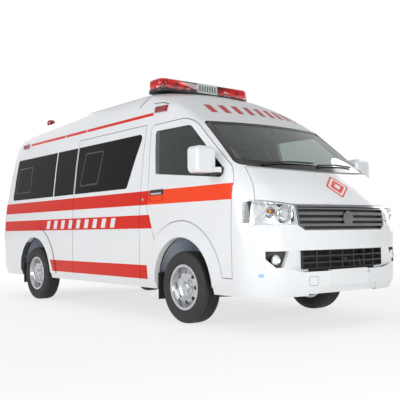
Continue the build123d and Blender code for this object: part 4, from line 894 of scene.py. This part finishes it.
tyre = turned(wall_right + tread + wall_left + liner + wall_right[:1], TREAD_STEPS)
bpy.ops.object.select_all(action="DESELECT")
tyre.select_set(True)
for polygon in tyre.data.polygons:
    polygon.select = shoulder_notch(polygon)
bpy.context.view_layer.objects.active = tyre
bpy.ops.object.mode_set(mode="EDIT")
bpy.ops.mesh.select_mode(type="FACE")
bpy.ops.mesh.extrude_region_shrink_fatten(
    MESH_OT_extrude_region={"use_normal_flip": False},
    TRANSFORM_OT_shrink_fatten={"value": -NOTCH_DEEP})
bpy.ops.mesh.select_mode(type="VERT")
bpy.ops.object.mode_set(mode="OBJECT")
nut = turned(NUT, 6)
cap = turned(CAP, 32)
for end, x in AXLES.items():
    for label, way in SIDES:
        wheel, turn = end + "_" + label, way * 90
        body = "wheel_" + wheel
        whole = settle(placed_copy(tyre, (x, way * WHEEL_OUT, TYRE_RADIUS), turn),
                       "tyre_" + wheel + "_tread", tyre_rubber, body, 35)
        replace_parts(whole, "tyre_" + wheel)
        for number in range(NUT_COUNT):
            angle = math.tau * number / NUT_COUNT
            spot = (x + NUT_CIRCLE * math.cos(angle), way * (WHEEL_OUT + NUT_FACE),
                    TYRE_RADIUS + NUT_CIRCLE * math.sin(angle))
            settle(placed_copy(nut, spot, turn), "wheel_nut_%s_%d" % (wheel, number), chrome, body)
        settle(placed_copy(cap, (x, way * (WHEEL_OUT + CAP_FACE), TYRE_RADIUS), turn),
               "hub_cap_" + wheel, rim_silver, body)
        dress_all(("rim_" + wheel,), rim_silver)
for model in (tyre, nut, cap):
    bpy.data.objects.remove(model)

# Cab seats: foam cushions, backs and head rests under dark woven cloth, each with a
# hollow where one sits, on a hard base with chromed stalks.
SEAT_X, SEAT_Y, SEAT_Z, BACK_TILT = 1.40, 0.43, 0.93, -14
BASE_HALF, BASE_LOW, BASE_HIGH, BASE_ROUND = 0.200, 0.842, 0.935, 0.02
CUSHION, CUSHION_AT, CUSHION_HOLLOW = (0.53, 0.50, 0.135), (0.02, 0.060), 0.02
BACK, BACK_AT, BACK_HOLLOW = (0.125, 0.49, 0.62), (-0.245, 0.390), 0.014
REST, REST_AT, REST_HOLLOW = (0.100, 0.285, 0.185), (-0.335, 0.765), 0.006
STALK, STALK_AT, STALK_PITCH = [(0.0, 0.0), (0.0, 0.006), (0.10, 0.006), (0.10, 0.0)], (-0.316, 0.630), -104
HOLLOW_WITHIN, PAD_CUTS, PAD_LEVELS = 0.7, 3, 2
seat_cloth = finish("seat_cloth", (0.020, 0.021, 0.024), (0.032, 0.033, 0.037), 14.0, (0.75, 0.9),
                    1600.0, 0.5, 0.0008, spec=0.2)


def pad(name, y, at, size, hollow, tilt):
    """A padded block with rounded edges and a hollow where one sits."""
    bpy.ops.object.select_all(action="DESELECT")
    bpy.ops.mesh.primitive_cube_add(size=1.0, location=(0, 0, 0))
    obj = bpy.context.object
    bpy.ops.object.mode_set(mode="EDIT")
    bpy.ops.mesh.select_all(action="SELECT")
    bpy.ops.transform.resize(value=size)
    bpy.ops.mesh.subdivide(number_cuts=PAD_CUTS)
    bpy.ops.mesh.select_all(action="SELECT")
    bpy.ops.mesh.normals_make_consistent(inside=False)
    bpy.ops.object.mode_set(mode="OBJECT")
    thin = min(range(3), key=lambda axis: size[axis])
    wide = [axis for axis in range(3) if axis != thin]
    for vertex in obj.data.vertices:
        share = max(abs(vertex.co[axis]) / (size[axis] / 2) for axis in wide)
        if share < HOLLOW_WITHIN:
            vertex.co[thin] -= math.copysign(hollow * (1 - share), vertex.co[thin])
    round_off = obj.modifiers.new("round_off", "SUBSURF")
    round_off.levels = round_off.render_levels = PAD_LEVELS
    moved(obj, (SEAT_X + at[0], y, SEAT_Z + at[1]), 0, tilt)
    settle(obj, name, seat_cloth, "root", 60)
    return obj


for label, way in SIDES:
    y = way * SEAT_Y
    outline = rounded(box_outline(y - BASE_HALF, BASE_LOW, y + BASE_HALF, BASE_HIGH), BASE_ROUND)
    settle(prism(outline, "X", SEAT_X - 0.185, SEAT_X + 0.225), "seat_base_" + label, cab_trim)
    cushion = pad("seat_cushion_" + label, y, CUSHION_AT, CUSHION, CUSHION_HOLLOW, 0)
    if label == "right":
        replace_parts(cushion, "seats")
    pad("seat_back_" + label, y, BACK_AT, BACK, BACK_HOLLOW, BACK_TILT)
    pad("head_rest_" + label, y, REST_AT, REST, REST_HOLLOW, BACK_TILT)
    for side in (-0.06, 0.06):
        spot = (SEAT_X + STALK_AT[0], y + side, SEAT_Z + STALK_AT[1])
        settle(moved(turned(STALK, 16), spot, 0, STALK_PITCH),
               "head_rest_stalk_%s_%d" % (label, side > 0), chrome)

# Cab mirror: a black moulded shell on a short foot that is glued to the windscreen,
# with its glass towards the seats.
CAB_MIRROR, CAB_MIRROR_RIM = (-0.115, 1.705, 0.115, 1.765), 0.006
shell = rounded(box_outline(*CAB_MIRROR), 0.028)
settle(prism(shell, "X", 1.735, 1.765), "cab_mirror", black_plastic)
pane = box_outline(-0.108, 1.705 + CAB_MIRROR_RIM, 0.108, 1.765 - CAB_MIRROR_RIM)
settle(prism(rounded(pane, 0.024), "X", 1.7335, 1.736), "cab_mirror_glass", mirror_glass)
foot = [(1.755, 1.750), (1.800, 1.790), (1.806, 1.812), (1.755, 1.768)]
settle(prism(foot, "Y", -0.012, 0.012), "cab_mirror_foot", black_plastic)

# Roof cap joints and prints: black sealing strips where the moulded cap meets the
# steel body and up the cap beside the light bar, and plain red bars across its front.
STRIP = [(0.645, 2.112), (0.659, 2.112), (0.765, 2.216), (0.751, 2.216)]
JOINT_LINE, JOINT_WIDTH = [(0.913, 2.111), (1.079, 2.097), (1.271, 2.038), (1.510, 1.917)], 0.008
STRIP_LIFT, STRIP_RISE, JOINT_LIFT, JOINT_RISE = 0.0015, 0.0008, 0.0012, 0.0006
PRINT_COUNT, PRINT_FROM, PRINT_STEP, PRINT_LOW, PRINT_HIGH = 9, -0.56, 0.14, 1.962, 2.062
PRINT_WIDTH, PRINT_SLANT, ROOF_LIFT = 0.062, 0.020, (0.0010, 0, 0.0008)
joint_black = finish("joint_black", (0.025, 0.025, 0.026), (0.040, 0.040, 0.042), 20.0,
                     (0.5, 0.65), 800.0, 0.15, 0.0004)
red_print = finish("red_print", (0.50, 0.012, 0.012), (0.44, 0.010, 0.010), 8.0, (0.3, 0.4), 900.0,
                   0.03, 0.0003)
for label, way in SIDES:
    low, high = sorted((way * 0.5, way * 1.0))
    laid_on("cap_strip_" + label, "roof_cap", (0, way * STRIP_LIFT, STRIP_RISE),
            prism(STRIP, "Y", low, high), joint_black)
    joint = JOINT_LINE + [(x, z + JOINT_WIDTH) for x, z in reversed(JOINT_LINE)]
    laid_on("cap_joint_" + label, "roof_cap", (0, way * JOINT_LIFT, JOINT_RISE),
            prism(joint, "Y", low, high), joint_black)
for number in range(PRINT_COUNT):
    y = PRINT_FROM + PRINT_STEP * number
    corners = [(y, PRINT_LOW), (y + PRINT_WIDTH, PRINT_LOW),
               (y + PRINT_WIDTH + PRINT_SLANT, PRINT_HIGH), (y + PRINT_SLANT, PRINT_HIGH)]
    laid_on("roof_print_%d" % number, "roof_cap", ROOF_LIFT, prism(corners, "X", 1.2, 2.2), red_print)
